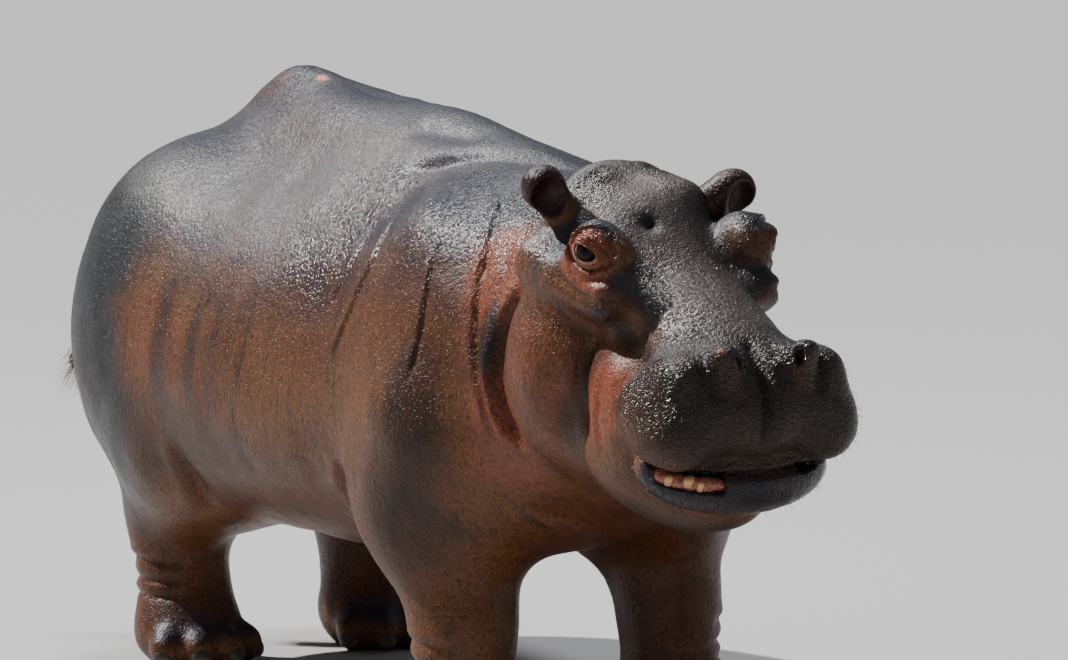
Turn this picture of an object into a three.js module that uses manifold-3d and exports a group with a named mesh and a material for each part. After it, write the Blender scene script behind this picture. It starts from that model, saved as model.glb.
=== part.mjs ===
// A hippopotamus standing at rest with its head held low, life size.
// Millimetres, X forward, Y to the animal's left, Z up, floor at Z = 0.
// The body is one rounded form, the smooth union of named masses, parted by thin cuts
// into the pieces a person would name. Numbers are measured from the ground under the hips.
import * as THREE from 'three';
import { mergeVertices } from 'three/addons/utils/BufferGeometryUtils.js';
import Module from 'manifold-3d';

const wasm = await Module();
wasm.setup();

// ---------------------------------------------------------------- driving dimensions
const GAP = 0.4;                                   // cut between two neighbouring pieces
const CELL = { trunk: 109, neck: 88, head: 52, jaw: 52, leg: 80, foot: 69, ear: 26, tail: 50 };
const NECK_CUT = 1480;                             // where the neck leaves the trunk
const NAPE_CUT = -115;                             // where the head leaves the neck, along the head
const LEG_TOP = 500;                               // leg's cut under the trunk
const FOOT_TOP = 165;                              // foot's cut at the ankle
const TAIL_CUT = -742;                             // tail's cut behind the rump
const MOUTH = { corner: 330, line: -270, rest: -306 };  // along and under the head
const HEAD = { seat: [1920, -160, 1280], yaw: -2.5, pitch: 23 };
const FORE = { name: 'fore', x: 1280, y: 270, behind: 250, ahead: 260, inner: 110 };
const HIND = { name: 'hind', x: -250, y: 260, behind: 290, ahead: 400, inner: 95 };
const TOES = [-50, -17, 17, 50];                   // degrees from straight ahead
const TOE_REACH = 122;
const EYE = { dome: [155, 176, 6], facing: [0.45, 0.86, 0.25], depth: 40, radius: 31 };

// ---------------------------------------------------------------- distance fields
const join = (a, b, k) => {
  const h = Math.max(k - Math.abs(a - b), 0) / k;
  return Math.min(a, b) - h * h * k * 0.25;
};
const trim = (a, b, k) => -join(-a, -b, k);

function turned(yaw, pitch, roll) {
  const rad = THREE.MathUtils.degToRad;
  return new THREE.Matrix4().makeRotationFromEuler(new THREE.Euler(rad(roll), rad(pitch), rad(yaw), 'ZYX'));
}

// A rounded mass with three half-widths, turned about its own centre.
function ball(centre, radii, blend, turn = [0, 0, 0]) {
  const back = turned(...turn).transpose();
  const q = new THREE.Vector3();
  const distance = (p) => {
    q.set(p.x - centre[0], p.y - centre[1], p.z - centre[2]).applyMatrix4(back);
    const ax = q.x / radii[0];
    const ay = q.y / radii[1];
    const az = q.z / radii[2];
    const k0 = Math.hypot(ax, ay, az);
    const k1 = Math.hypot(ax / radii[0], ay / radii[1], az / radii[2]);
    return k0 * (k0 - 1) / Math.max(k1, 1e-9);
  };
  return { distance, blend };
}

// A limb-like mass from one ball to another, its radius changing evenly.
function limb(from, to, r0, r1, blend) {
  const d = to.map((v, i) => v - from[i]);
  const dd = d[0] ** 2 + d[1] ** 2 + d[2] ** 2;
  const distance = (p) => {
    const x = p.x - from[0];
    const y = p.y - from[1];
    const z = p.z - from[2];
    const t = THREE.MathUtils.clamp((x * d[0] + y * d[1] + z * d[2]) / dd, 0, 1);
    return Math.hypot(x - t * d[0], y - t * d[1], z - t * d[2]) - (r0 + (r1 - r0) * t);
  };
  return { distance, blend };
}

const flip = ([x, y, z]) => [x, -y, z];
const ballPair = (c, r, blend, [yaw, pitch, roll] = [0, 0, 0]) =>
  [ball(flip(c), r, blend, [-yaw, pitch, -roll]), ball(c, r, blend, [yaw, pitch, roll])];
const limbPair = (a, b, r0, r1, blend) => [limb(flip(a), flip(b), r0, r1, blend), limb(a, b, r0, r1, blend)];

const united = (masses) => (p) => {
  let d = masses[0].distance(p);
  for (const mass of masses.slice(1)) d = join(d, mass.distance(p), mass.blend);
  return d;
};

// ---------------------------------------------------------------- the masses
// Barrel of the trunk: a long superellipsoid, wider below its middle than above.
function barrel() {
  const distance = (p) => {
    const t = (p.x - 380) / 1100;
    const rise = p.z - (845 - 10 * t);
    const width = (505 - 35 * t - 40 * t * t) * (1 - 0.26 * rise / 1000);
    const height = 475 - 20 * t;
    const e = Math.abs(t) ** 2.8 + Math.abs(p.y / width) ** 2.1 + Math.abs(rise / height) ** 2.2;
    return (e ** (1 / 2.35) - 1) * 500;
  };
  return { distance, blend: 0 };
}

const bodyMasses = [
  barrel(),
  ball([-30, 0, 1150], [340, 80, 350], 220),                         // ridge of the hips
  ball([600, 0, 1090], [680, 170, 345], 200),                        // back
  ball([1150, -20, 1050], [420, 200, 255], 180),                     // withers
  ...ballPair([-235, 230, 830], [415, 240, 450], 170),               // haunches
  ...ballPair([1220, 260, 820], [330, 190, 420], 160),               // shoulders
  limb([1220, 0, 920], [1780, -130, 980], 370, 215, 140),            // neck
  limb([1300, -30, 1080], [1820, -150, 1120], 190, 145, 120),        // crest
  limb([1380, -40, 780], [1820, -140, 840], 300, 195, 140),          // throat
];

const foreLegMasses = [
  ...limbPair([1280, 270, 750], [1190, 280, 560], 210, 180, 20),     // upper arm
  ...limbPair([1190, 280, 560], [1270, 270, 300], 165, 115, 80),     // forearm
  ...limbPair([1270, 270, 320], [1280, 270, 100], 115, 120, 50),     // wrist
];
const hindLegMasses = [
  ...limbPair([-220, 235, 740], [-30, 270, 560], 235, 185, 140),     // thigh
  ...limbPair([-60, 270, 580], [-280, 260, 360], 190, 125, 100),     // shank
  ...limbPair([-280, 260, 360], [-250, 260, 120], 115, 120, 60),     // hock
];
const footMasses = ({ x, y }) => [
  ...ballPair([x + 25, y, 70], [135, 128, 95], 60),                  // pad
  ...TOES.flatMap((angle) => {
    const a = THREE.MathUtils.degToRad(angle);
    const toe = [x + 25 + TOE_REACH * Math.cos(a), y + TOE_REACH * Math.sin(a), 50];
    return ballPair(toe, [62, 46, 54], 25, [angle, 0, 0]);
  }),
];
const tailMasses = [
  limb([-640, 0, 1000], [-790, -110, 870], 100, 50, 40),
  limb([-790, -110, 870], [-870, -260, 700], 50, 30, 40),
];

const headMasses = [
  ball([-45, 0, -45], [190, 155, 130], 0),                           // poll
  ball([60, 0, -200], [220, 190, 190], 100),                         // skull
  ...limbPair([100, 50, -90], [560, 45, -125], 95, 95, 80),          // bridge
  ball([400, 0, -200], [260, 170, 150], 80),                         // snout
  ball([590, 0, -145], [120, 170, 90], 50),                          // middle of the muzzle
  ...ballPair([-20, 150, -60], [80, 50, 60], 40),                    // ear's root
  ...ballPair([155, 176, 6], [70, 60, 64], 45),                      // eye's dome
  ...limbPair([255, 182, -72], [-20, 215, -115], 46, 58, 70),        // cheekbone
  ...ballPair([75, 165, -310], [165, 115, 210], 50, [0, -8, 0]),     // jaw muscle
  ...ballPair([565, 125, -145], [125, 105, 98], 40),                 // whisker pad
  ...ballPair([570, 172, -190], [135, 92, 92], 40),                  // hanging lip
  ...ballPair([605, 85, -50], [56, 42, 52], 30),                     // nostril's mound
  ...ballPair([575, 168, -88], [60, 50, 50], 40),                    // crown of the pad
  ...ballPair([360, 125, -300], [170, 95, 170], 60),                 // side of the mouth
  ball([330, 0, -405], [310, 190, 140], 50, [0, -6, 0]),             // lower jaw
  ball([575, 0, -305], [135, 222, 92], 20),                          // lower lip
  ball([80, 0, -430], [210, 180, 185], 100),                         // angle of the jaw
];

// Each ear is a stout stalk hollowed to a cup that opens forward.
const EARS = {
  right: { side: -1, root: [-35, -150, -30], tip: [-65, -215, 45] },
  left: { side: 1, root: [15, 155, -10], tip: [28, 204, 60] },
};
function earField({ side, root, tip }) {
  const stalk = limb(root, tip, 34, 50, 0);
  const cup = ball([tip[0] + 50, tip[1] + 4 * side, tip[2] - 5], [45, 40, 52], 0);
  return (p) => trim(stalk.distance(p), -cup.distance(p), 12);
}

const headMatrix = turned(HEAD.yaw, HEAD.pitch, 0).setPosition(...HEAD.seat);
const headInverse = headMatrix.clone().invert();
const skull = united(headMasses);
const ears = Object.values(EARS).map(earField);
const headOnly = (q) => ears.reduce((d, ear) => join(d, ear(q), 15), skull(q));
const bodyOnly = united(bodyMasses);
const limbsOnly = united([...foreLegMasses, ...hindLegMasses, ...footMasses(FORE), ...footMasses(HIND)]);
const tailOnly = united(tailMasses);
const local = new THREE.Vector3();

function animal(p) {
  let d = join(bodyOnly(p), headOnly(local.copy(p).applyMatrix4(headInverse)), 30);
  d = join(d, tailOnly(p), 40);
  return join(d, limbsOnly(p), 100);
}
const world = new THREE.Vector3();
const animalFromHead = (q) => animal(world.copy(q).applyMatrix4(headMatrix));

// ---------------------------------------------------------------- surfaces from the fields
// Closed surface of a field inside a box: one point in each cell that the surface crosses,
// joined across every crossed edge, then drawn onto the surface itself.
function surface(field, low, high, cell) {
  const n = low.map((v, i) => Math.max(3, Math.round((high[i] - v) / cell)) + 1);
  const step = low.map((v, i) => (high[i] - v) / (n[i] - 1));
  const index = (i, j, k) => (k * n[1] + j) * n[0] + i;
  const at = (i, j, k) => new THREE.Vector3(low[0] + i * step[0], low[1] + j * step[1], low[2] + k * step[2]);
  const wall = (i, j, k) => i === 0 || j === 0 || k === 0 || i === n[0] - 1 || j === n[1] - 1 || k === n[2] - 1;
  const value = new Float64Array(n[0] * n[1] * n[2]);
  for (let k = 0; k < n[2]; k++) {
    for (let j = 0; j < n[1]; j++) {
      for (let i = 0; i < n[0]; i++) value[index(i, j, k)] = wall(i, j, k) ? 1 : field(at(i, j, k));
    }
  }
  const corners = [0, 1, 2, 3, 4, 5, 6, 7].map((c) => [c & 1, (c >> 1) & 1, c >> 2]);
  const edges = [];
  corners.forEach((a, i) => corners.forEach((b, j) => {
    if (i < j && Math.abs(a[0] - b[0]) + Math.abs(a[1] - b[1]) + Math.abs(a[2] - b[2]) === 1) edges.push([a, b]);
  }));
  const points = [];
  const cellPoint = new Map();
  for (let k = 0; k < n[2] - 1; k++) {
    for (let j = 0; j < n[1] - 1; j++) {
      for (let i = 0; i < n[0] - 1; i++) {
        const sum = new THREE.Vector3();
        let count = 0;
        for (const [a, b] of edges) {
          const va = value[index(i + a[0], j + a[1], k + a[2])];
          const vb = value[index(i + b[0], j + b[1], k + b[2])];
          if (va < 0 === vb < 0) continue;
          sum.add(at(i + a[0], j + a[1], k + a[2]).lerp(at(i + b[0], j + b[1], k + b[2]), va / (va - vb)));
          count++;
        }
        if (count === 0) continue;
        cellPoint.set(index(i, j, k), points.length);
        points.push(sum.divideScalar(count));
      }
    }
  }
  const triangles = [];
  const axes = [[1, 0, 0], [0, 1, 0], [0, 0, 1]];
  for (let k = 0; k < n[2] - 1; k++) {
    for (let j = 0; j < n[1] - 1; j++) {
      for (let i = 0; i < n[0] - 1; i++) {
        axes.forEach((axis, a) => {
          const inside = value[index(i, j, k)] < 0;
          if (inside === value[index(i + axis[0], j + axis[1], k + axis[2])] < 0) return;
          const u = axes[(a + 1) % 3];
          const v = axes[(a + 2) % 3];
          const ring = [[0, 0], [1, 0], [1, 1], [0, 1]].map(([s, t]) =>
            cellPoint.get(index(i - s * u[0] - t * v[0], j - s * u[1] - t * v[1], k - s * u[2] - t * v[2])));
          if (!inside) ring.reverse();
          const [p0, p1, p2, p3] = ring.map((id) => points[id]);
          const split = p0.distanceTo(p2) < p1.distanceTo(p3);
          triangles.push(...(split ? [0, 1, 2, 0, 2, 3] : [1, 2, 3, 1, 3, 0]).map((c) => ring[c]));
        });
      }
    }
  }
  const nearWall = (p) => low.some((v, i) => {
    const c = p.getComponent(i);
    return c - v < 1.5 * step[i] || high[i] - c < 1.5 * step[i];
  });
  for (const p of points) if (!nearWall(p)) drawOnto(field, p, cell);
  return solidOf(points.flatMap((p) => p.toArray()), triangles);
}

// Moves a point to the field's surface along its slope, by no more than part of a cell.
function drawOnto(field, p, cell) {
  const d = 0.5;
  const probe = new THREE.Vector3();
  const slope = new THREE.Vector3();
  for (let pass = 0; pass < 3; pass++) {
    const here = field(p);
    [0, 1, 2].forEach((i) => {
      probe.copy(p).setComponent(i, p.getComponent(i) + d);
      slope.setComponent(i, (field(probe) - here) / d);
    });
    const move = -here / Math.max(slope.lengthSq(), 0.05);
    p.addScaledVector(slope, THREE.MathUtils.clamp(move, -0.3 * cell, 0.3 * cell));
  }
}

// ---------------------------------------------------------------- solids, cut and joined
const solidOf = (positions, triangles) => new wasm.Manifold(new wasm.Mesh({
  numProp: 3, vertProperties: new Float32Array(positions), triVerts: new Uint32Array(triangles),
}));

function solidFrom(geometry, matrix = new THREE.Matrix4()) {
  const plain = geometry.clone().applyMatrix4(matrix);
  plain.deleteAttribute('normal');
  plain.deleteAttribute('uv');
  const merged = mergeVertices(plain, 1e-3);
  return solidOf(merged.attributes.position.array, merged.index.array);
}

// The largest connected body of a solid, without crumbs that a cut may leave.
function mainBody(solid) {
  return solid.decompose().reduce((best, part) => (part.volume() > best.volume() ? part : best));
}

function block(low, high, matrix = new THREE.Matrix4()) {
  const size = high.map((v, i) => v - low[i]);
  const centre = high.map((v, i) => (v + low[i]) / 2);
  const box = new THREE.BoxGeometry(...size).translate(...centre);
  return solidFrom(box, matrix);
}

const skinPaint = { roughness: 0.5, metalness: 0 };
const PAINT = {
  hide: new THREE.MeshStandardMaterial({ color: '#5d4a44', ...skinPaint }),
  hideWarm: new THREE.MeshStandardMaterial({ color: '#7a4a38', ...skinPaint }),
  nail: new THREE.MeshStandardMaterial({ color: '#2b2523', roughness: 0.4, metalness: 0 }),
  eye: new THREE.MeshStandardMaterial({ color: '#1d1310', roughness: 0.08, metalness: 0 }),
  tooth: new THREE.MeshStandardMaterial({ color: '#c98f4e', roughness: 0.35, metalness: 0 }),
};

const hippopotamus = new THREE.Group();

// Two sheets that pinch together at one place are drawn 1 mm or so apart.
function unpinch({ vertProperties: xyz, triVerts }) {
  const places = new Map();
  for (let v = 0; v < xyz.length / 3; v++) {
    const key = [0, 1, 2].map((i) => xyz[3 * v + i].toFixed(2)).join();
    places.set(key, [...(places.get(key) ?? []), v]);
  }
  for (const pinched of places.values()) {
    if (pinched.length === 1) continue;
    for (const v of pinched) {
      const around = [];
      for (let t = 0; t < triVerts.length; t += 3) {
        const corners = [...triVerts.subarray(t, t + 3)];
        if (corners.includes(v)) around.push(...corners.filter((c) => !pinched.includes(c)));
      }
      for (let i = 0; i < 3; i++) {
        const mean = around.reduce((sum, c) => sum + xyz[3 * c + i], 0) / around.length;
        xyz[3 * v + i] += 0.12 * (mean - xyz[3 * v + i]);
      }
    }
  }
}

function addNode(name, solid, paint) {
  const mesh = mainBody(solid).getMesh();
  unpinch(mesh);
  const geometry = new THREE.BufferGeometry();
  geometry.setAttribute('position', new THREE.BufferAttribute(mesh.vertProperties, 3));
  geometry.setIndex(new THREE.BufferAttribute(mesh.triVerts, 1));
  geometry.computeVertexNormals();
  const node = new THREE.Mesh(geometry, paint);
  node.name = name;
  hippopotamus.add(node);
  return node;
}

// ---------------------------------------------------------------- regions of the pieces
const half = GAP / 2;

function legRegion({ x, y, behind, ahead, inner }, side, top, grow = 0) {
  const ends = [side * inner, side * (y + 300)].sort((a, b) => a - b);
  return block(
    [x - behind - grow, ends[0] - grow, -50],
    [x + ahead + grow, ends[1] + grow, top + grow],
  );
}
const sides = [['right', -1], ['left', 1]];
const legs = [FORE, HIND].flatMap((leg) => sides.map(([side, sign]) => ({ leg, side, sign })));
const withoutLegs = (solid) =>
  legs.reduce((rest, { leg, sign }) => rest.subtract(legRegion(leg, sign, LEG_TOP, GAP)), solid);

const behindNape = block([-1500, -900, -1300], [NAPE_CUT - half, 900, 700], headMatrix);
const aheadOfNape = block([NAPE_CUT + half, -450, -800], [950, 450, 350]);
const jawRegion = (grow = 0) =>
  block([MOUTH.corner - grow, -450, -800], [950, 450, MOUTH.line + grow]);

// ---------------------------------------------------------------- trunk, neck and tail
const trunk = surface(animal, [-950, -817, 100], [1680, 817, 1790], CELL.trunk)
  .intersect(block([TAIL_CUT + half, -900, 0], [NECK_CUT - half, 900, 1900]));
addNode('trunk', withoutLegs(trunk), PAINT.hide);

const neck = surface(animal, [1250, -800, 170], [2220, 680, 1750], CELL.neck)
  .intersect(block([NECK_CUT + half, -900, 0], [2400, 900, 1900]))
  .intersect(behindNape);
addNode('neck', withoutLegs(neck), PAINT.hideWarm);

const tail = surface(animal, [-1010, -420, 540], [-600, 180, 1190], CELL.tail)
  .intersect(block([-1200, -500, 400], [TAIL_CUT - half, 300, 1200]));
addNode('tail', tail, PAINT.hide);

// ---------------------------------------------------------------- legs, feet and nails
function nailSolid({ x, y }, sign, angle, grow = 0) {
  const a = THREE.MathUtils.degToRad(angle);
  const reach = TOE_REACH + 46;
  const size = [20, 24, 23].map((v) => v + grow);
  const place = new THREE.Matrix4()
    .makeTranslation(x + 25 + reach * Math.cos(a), sign * y + reach * Math.sin(a), 38)
    .multiply(new THREE.Matrix4().makeRotationZ(a))
    .scale(new THREE.Vector3(...size));
  return solidFrom(new THREE.SphereGeometry(1, 7, 3).rotateX(Math.PI / 2), place);
}

for (const { leg, side, sign } of legs) {
  const low = [leg.x - leg.behind - 150, sign * leg.y - 360, -150];
  const high = [leg.x + leg.ahead + 150, sign * leg.y + 360, LEG_TOP + 150];
  const limbSolid = surface(animal, low, high, CELL.leg)
    .intersect(legRegion(leg, sign, LEG_TOP))
    .subtract(legRegion(leg, sign, FOOT_TOP, half));
  addNode(`${leg.name}leg_${side}`, limbSolid, PAINT.hide);

  const sole = block([-2000, -900, 0], [3000, 900, 900]);
  const footLow = [leg.x - 290, sign * leg.y - 310, -130];
  const footHigh = [leg.x + 390, sign * leg.y + 310, 350];
  let foot = surface(animal, footLow, footHigh, CELL.foot)
    .intersect(legRegion(leg, sign, FOOT_TOP - half))
    .intersect(sole);
  TOES.forEach((angle, i) => {
    foot = foot.subtract(nailSolid(leg, sign, angle, 0.6));
    addNode(`${leg.name}nail_${side}_${i + 1}`, nailSolid(leg, sign, angle), PAINT.nail);
  });
  addNode(`${leg.name}foot_${side}`, foot, PAINT.hide);
}

// ---------------------------------------------------------------- head, jaw, ears and eyes
function addToHead(name, solid, paint) {
  const node = addNode(name, solid, paint);
  node.applyMatrix4(headMatrix);
}

// A block that holds one ear beyond a cut square to the ear's length.
function earRegion({ root, tip }, grow = 0) {
  const base = new THREE.Vector3(...root);
  const axis = new THREE.Vector3(...tip).sub(base);
  const turn = new THREE.Quaternion().setFromUnitVectors(new THREE.Vector3(0, 0, 1), axis.clone().normalize());
  const seat = base.addScaledVector(axis, 0.42);
  const place = new THREE.Matrix4().compose(seat, turn, new THREE.Vector3(1, 1, 1));
  return block([-66 - grow, -66 - grow, -grow], [66 + grow, 66 + grow, 170 + grow], place);
}

function eyeBall(sign, grow = 0) {
  const [x, y, z] = EYE.dome.map((v, i) => v + EYE.depth * EYE.facing[i]);
  const globe = new THREE.SphereGeometry(EYE.radius + grow, 12, 7).translate(x, sign * y, z);
  return solidFrom(globe);
}

let head = surface(animalFromHead, [NAPE_CUT - 130, -400, -720], [830, 400, 230], CELL.head)
  .intersect(aheadOfNape)
  .subtract(jawRegion(GAP));
for (const ear of Object.values(EARS)) head = head.subtract(earRegion(ear, GAP));
for (const [, sign] of sides) head = head.subtract(eyeBall(sign, 0.5));
addToHead('head', head, PAINT.hideWarm);

for (const [side, sign] of sides) {
  const ear = EARS[side];
  const low = ear.tip.map((v) => v - 110);
  const high = ear.tip.map((v) => v + 110);
  addToHead(`ear_${side}`, surface(animalFromHead, low, high, CELL.ear).intersect(earRegion(ear)), PAINT.hideWarm);
  addToHead(`eye_${side}`, eyeBall(sign), PAINT.eye);
}

// The lower lip dips at each side of the front, where gum and teeth show.
const gumRest = (sign) => {
  const ends = [sign * 95, sign * 320].sort((a, b) => a - b);
  return block([600, ends[0], MOUTH.rest], [780, ends[1], MOUTH.line + 5]);
};
let jaw = surface(animalFromHead, [MOUTH.corner - 130, -400, -720], [830, 400, -120], CELL.jaw)
  .intersect(aheadOfNape)
  .intersect(jawRegion());
for (const [, sign] of sides) jaw = jaw.subtract(gumRest(sign));
addToHead('lower_jaw', jaw, PAINT.hide);

// Gum and the teeth that grow from it, lying on the lowered stretch of the lip.
function teethSolid(sign) {
  const gum = new THREE.CapsuleGeometry(11, 84, 2, 6).rotateZ(Math.PI / 2);
  const place = (x, y, z, yaw = 0) => new THREE.Matrix4().makeTranslation(x, sign * y, z)
    .multiply(new THREE.Matrix4().makeRotationZ(sign * THREE.MathUtils.degToRad(yaw)));
  const upright = (radius, length) => new THREE.CapsuleGeometry(radius, length, 2, 6).rotateX(Math.PI / 2);
  const low = MOUTH.rest + GAP;
  return solidFrom(gum, place(645, 152, low + 11, -58))
    .add(solidFrom(upright(10, 10), place(628, 181, low + 15)))
    .add(solidFrom(upright(9, 6), place(648, 150, low + 13)))
    .add(solidFrom(upright(8, 4), place(664, 122, low + 11)));
}
for (const [side, sign] of sides) addToHead(`teeth_${side}`, teethSolid(sign), PAINT.tooth);

// ---------------------------------------------------------------- stand it on its own origin
const bounds = new THREE.Box3().setFromObject(hippopotamus, true);
const middle = bounds.getCenter(new THREE.Vector3());
hippopotamus.position.set(-middle.x, -middle.y, -bounds.min.z);
hippopotamus.updateMatrixWorld(true);

export default hippopotamus;
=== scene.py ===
"""Looks of a life-size hippopotamus: one wet, folded hide with its eyes, nails, teeth and bristles.

The hide is drawn over the same named masses that the solids are cut from. Lengths are metres.
Body numbers are measured from the ground under the hips, head numbers from the top of the neck,
with x forward, y to the animal's left and z up; Anatomy.shift is the step from there to the solids.
"""
import logging
import math
from dataclasses import dataclass, replace
from enum import Enum
from typing import ClassVar, Iterable, Optional, Sequence, Union

import bmesh
import bpy
import numpy as np
from mathutils import Matrix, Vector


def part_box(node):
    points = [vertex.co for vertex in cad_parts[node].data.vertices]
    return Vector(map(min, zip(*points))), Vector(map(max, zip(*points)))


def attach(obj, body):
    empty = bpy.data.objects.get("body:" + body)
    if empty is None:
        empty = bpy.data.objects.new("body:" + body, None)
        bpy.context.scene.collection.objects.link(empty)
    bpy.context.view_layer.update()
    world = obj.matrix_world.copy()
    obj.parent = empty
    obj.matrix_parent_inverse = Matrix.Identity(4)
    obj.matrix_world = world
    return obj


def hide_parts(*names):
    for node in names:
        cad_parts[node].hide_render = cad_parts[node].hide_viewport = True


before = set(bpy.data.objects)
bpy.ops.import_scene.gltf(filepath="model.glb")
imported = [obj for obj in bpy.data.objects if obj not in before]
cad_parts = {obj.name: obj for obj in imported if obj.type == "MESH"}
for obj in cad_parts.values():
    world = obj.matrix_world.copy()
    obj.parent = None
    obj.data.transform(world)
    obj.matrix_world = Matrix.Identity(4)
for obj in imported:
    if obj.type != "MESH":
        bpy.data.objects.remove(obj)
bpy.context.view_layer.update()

Array = np.ndarray
Triple = tuple[float, float, float]
log = logging.getLogger("hippopotamus")
SIDES = (("right", -1), ("left", 1))


# ------------ distances to rounded masses
def turn_matrix(yaw: float, pitch: float, roll: float) -> Array:
    """Rotation by roll about x, then pitch about y, then yaw about z.

    Args:
        yaw: degrees to the left.
        pitch: degrees nose down.
        roll: degrees about the long axis.

    Returns:
        The three by three matrix whose columns are the turned axes.
    """
    a, b, c = np.radians([yaw, pitch, roll])
    about_z = np.array([[math.cos(a), -math.sin(a), 0], [math.sin(a), math.cos(a), 0], [0, 0, 1]])
    about_y = np.array([[math.cos(b), 0, math.sin(b)], [0, 1, 0], [-math.sin(b), 0, math.cos(b)]])
    about_x = np.array([[1, 0, 0], [0, math.cos(c), -math.sin(c)], [0, math.sin(c), math.cos(c)]])
    return about_z @ about_y @ about_x


def join(a: Array, b: Array, blend: float) -> Array:
    """Lesser of two distances, rounded where they differ by less than blend."""
    h = np.maximum(blend - np.abs(a - b), 0) / blend
    return np.minimum(a, b) - h * h * blend * 0.25


def trim(a: Array, b: Array, blend: float) -> Array:
    """Greater of two distances, rounded in the same way as join."""
    return -join(-a, -b, blend)


def smooth(value: Array, low: float, high: float) -> Array:
    """Rises from 0 at low to 1 at high with level ends: 3 t squared less 2 t cubed."""
    t = np.clip((value - low) / (high - low), 0, 1)
    return t * t * (3 - 2 * t)


def bump_at(value: Array, centre: float, width: float) -> Array:
    """Bell of height 1 about centre, e to the minus square of the distance over width."""
    return np.exp(-((value - centre) / width) ** 2)


def unit(v: Array) -> Array:
    """Vectors scaled to length 1 along their last axis."""
    return v / np.maximum(np.linalg.norm(v, axis=-1, keepdims=True), 1e-9)


@dataclass(frozen=True)
class Ball:
    """Rounded mass with three half-widths, turned about its own centre."""

    centre: Triple
    radii: Triple
    blend: float
    turn: Triple = (0, 0, 0)

    def distance(self, p: Array) -> Array:
        """Scaled-ellipsoid distance k0 (k0 - 1) / k1, k0 the length of q / r and k1 that of q / r^2.

        Args:
            p: points, in the numbers that the mass is given in.

        Returns:
            The distance of each point.
        """
        q = p - np.array(self.centre)
        if any(self.turn):
            q = q @ turn_matrix(*self.turn)
        a = q / np.array(self.radii)
        k0 = np.sqrt((a * a).sum(-1))
        a /= np.array(self.radii)
        k1 = np.sqrt((a * a).sum(-1))
        return k0 * (k0 - 1) / np.maximum(k1, 1e-9)

    def mirrored(self) -> "Ball":
        """The same mass on the other side."""
        (x, y, z), (yaw, pitch, roll) = self.centre, self.turn
        return replace(self, centre=(x, -y, z), turn=(-yaw, pitch, -roll))


@dataclass(frozen=True)
class Limb:
    """Mass from one ball to another, its radius changing evenly."""

    start: Triple
    end: Triple
    first: float
    last: float
    blend: float

    def distance(self, p: Array) -> Array:
        """Distance to the line from start to end, less the radius there.

        Args:
            p: points, in the numbers that the mass is given in.

        Returns:
            The distance of each point.
        """
        a = np.array(self.start)
        d = np.array(self.end) - a
        q = p - a
        t = np.clip((q @ d) / (d @ d), 0, 1)
        return np.sqrt(((q - t[:, None] * d) ** 2).sum(-1)) - (self.first + (self.last - self.first) * t)

    def mirrored(self) -> "Limb":
        """The same mass on the other side."""
        (ax, ay, az), (bx, by, bz) = self.start, self.end
        return replace(self, start=(ax, -ay, az), end=(bx, -by, bz))


@dataclass(frozen=True)
class Barrel:
    """Long superellipsoid of the trunk, wider below its middle than above.

    Level, width and height are the factors of 1, t and t squared, with t the place along the half length.
    """

    middle: float = 0.38
    half_length: float = 1.10
    level: tuple[float, float] = (0.845, -0.01)
    width: Triple = (0.505, -0.035, -0.04)
    narrowing: float = 0.26
    height: tuple[float, float] = (0.475, -0.02)
    powers: Triple = (2.8, 2.1, 2.2)
    whole_power: float = 2.35
    thickness: float = 0.5
    blend: float = 0.0

    def distance(self, p: Array) -> Array:
        """Sum of the three scaled coordinates to their powers, brought back to a length.

        Args:
            p: body points.

        Returns:
            The distance of each point.
        """
        t = (p[:, 0] - self.middle) / self.half_length
        rise = p[:, 2] - (self.level[0] + self.level[1] * t)
        width = self.width[0] + self.width[1] * t + self.width[2] * t * t
        width = width * (1 - self.narrowing * rise)
        height = self.height[0] + self.height[1] * t
        scaled = (np.abs(t), np.abs(p[:, 1] / width), np.abs(rise / height))
        total = sum(value**power for value, power in zip(scaled, self.powers))
        return (total ** (1 / self.whole_power) - 1) * self.thickness


Mass = Union[Ball, Limb, Barrel]


def both(*masses: Union[Ball, Limb]) -> list[Mass]:
    """Each mass on the right and on the left."""
    return [m for mass in masses for m in (mass.mirrored(), mass)]


def united(masses: Sequence[Mass], p: Array) -> Array:
    """Distance to masses joined one after another, each with its own blend.

    Args:
        masses: the masses, in the order of joining.
        p: points, in the numbers that the masses are given in.

    Returns:
        The distance of each point.
    """
    d = masses[0].distance(p)
    for mass in masses[1:]:
        d = join(d, mass.distance(p), mass.blend)
    return d


# ------------ the animal's form
@dataclass(frozen=True)
class Foot:
    """Pad of a foot with its four toes, which stand round it at angles in degrees."""

    x: float
    y: float
    toes: tuple[int, ...] = (-50, -17, 17, 50)
    reach: float = 0.122
    ahead: float = 0.025
    nail_reach: float = 0.168
    nail_height: float = 0.038
    pad_height: float = 0.07
    pad_radii: Triple = (0.135, 0.128, 0.095)
    pad_blend: float = 0.06
    toe_height: float = 0.05
    toe_radii: Triple = (0.062, 0.046, 0.054)
    toe_blend: float = 0.025

    def masses(self) -> list[Mass]:
        """Pad and toes on both sides.

        Returns:
            The masses, each on the right and then on the left.
        """
        parts = both(Ball((self.x + self.ahead, self.y, self.pad_height), self.pad_radii, self.pad_blend))
        for angle in self.toes:
            a = math.radians(angle)
            x = self.x + self.ahead + self.reach * math.cos(a)
            y = self.y + self.reach * math.sin(a)
            parts += both(Ball((x, y, self.toe_height), self.toe_radii, self.toe_blend, (angle, 0, 0)))
        return parts


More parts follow.
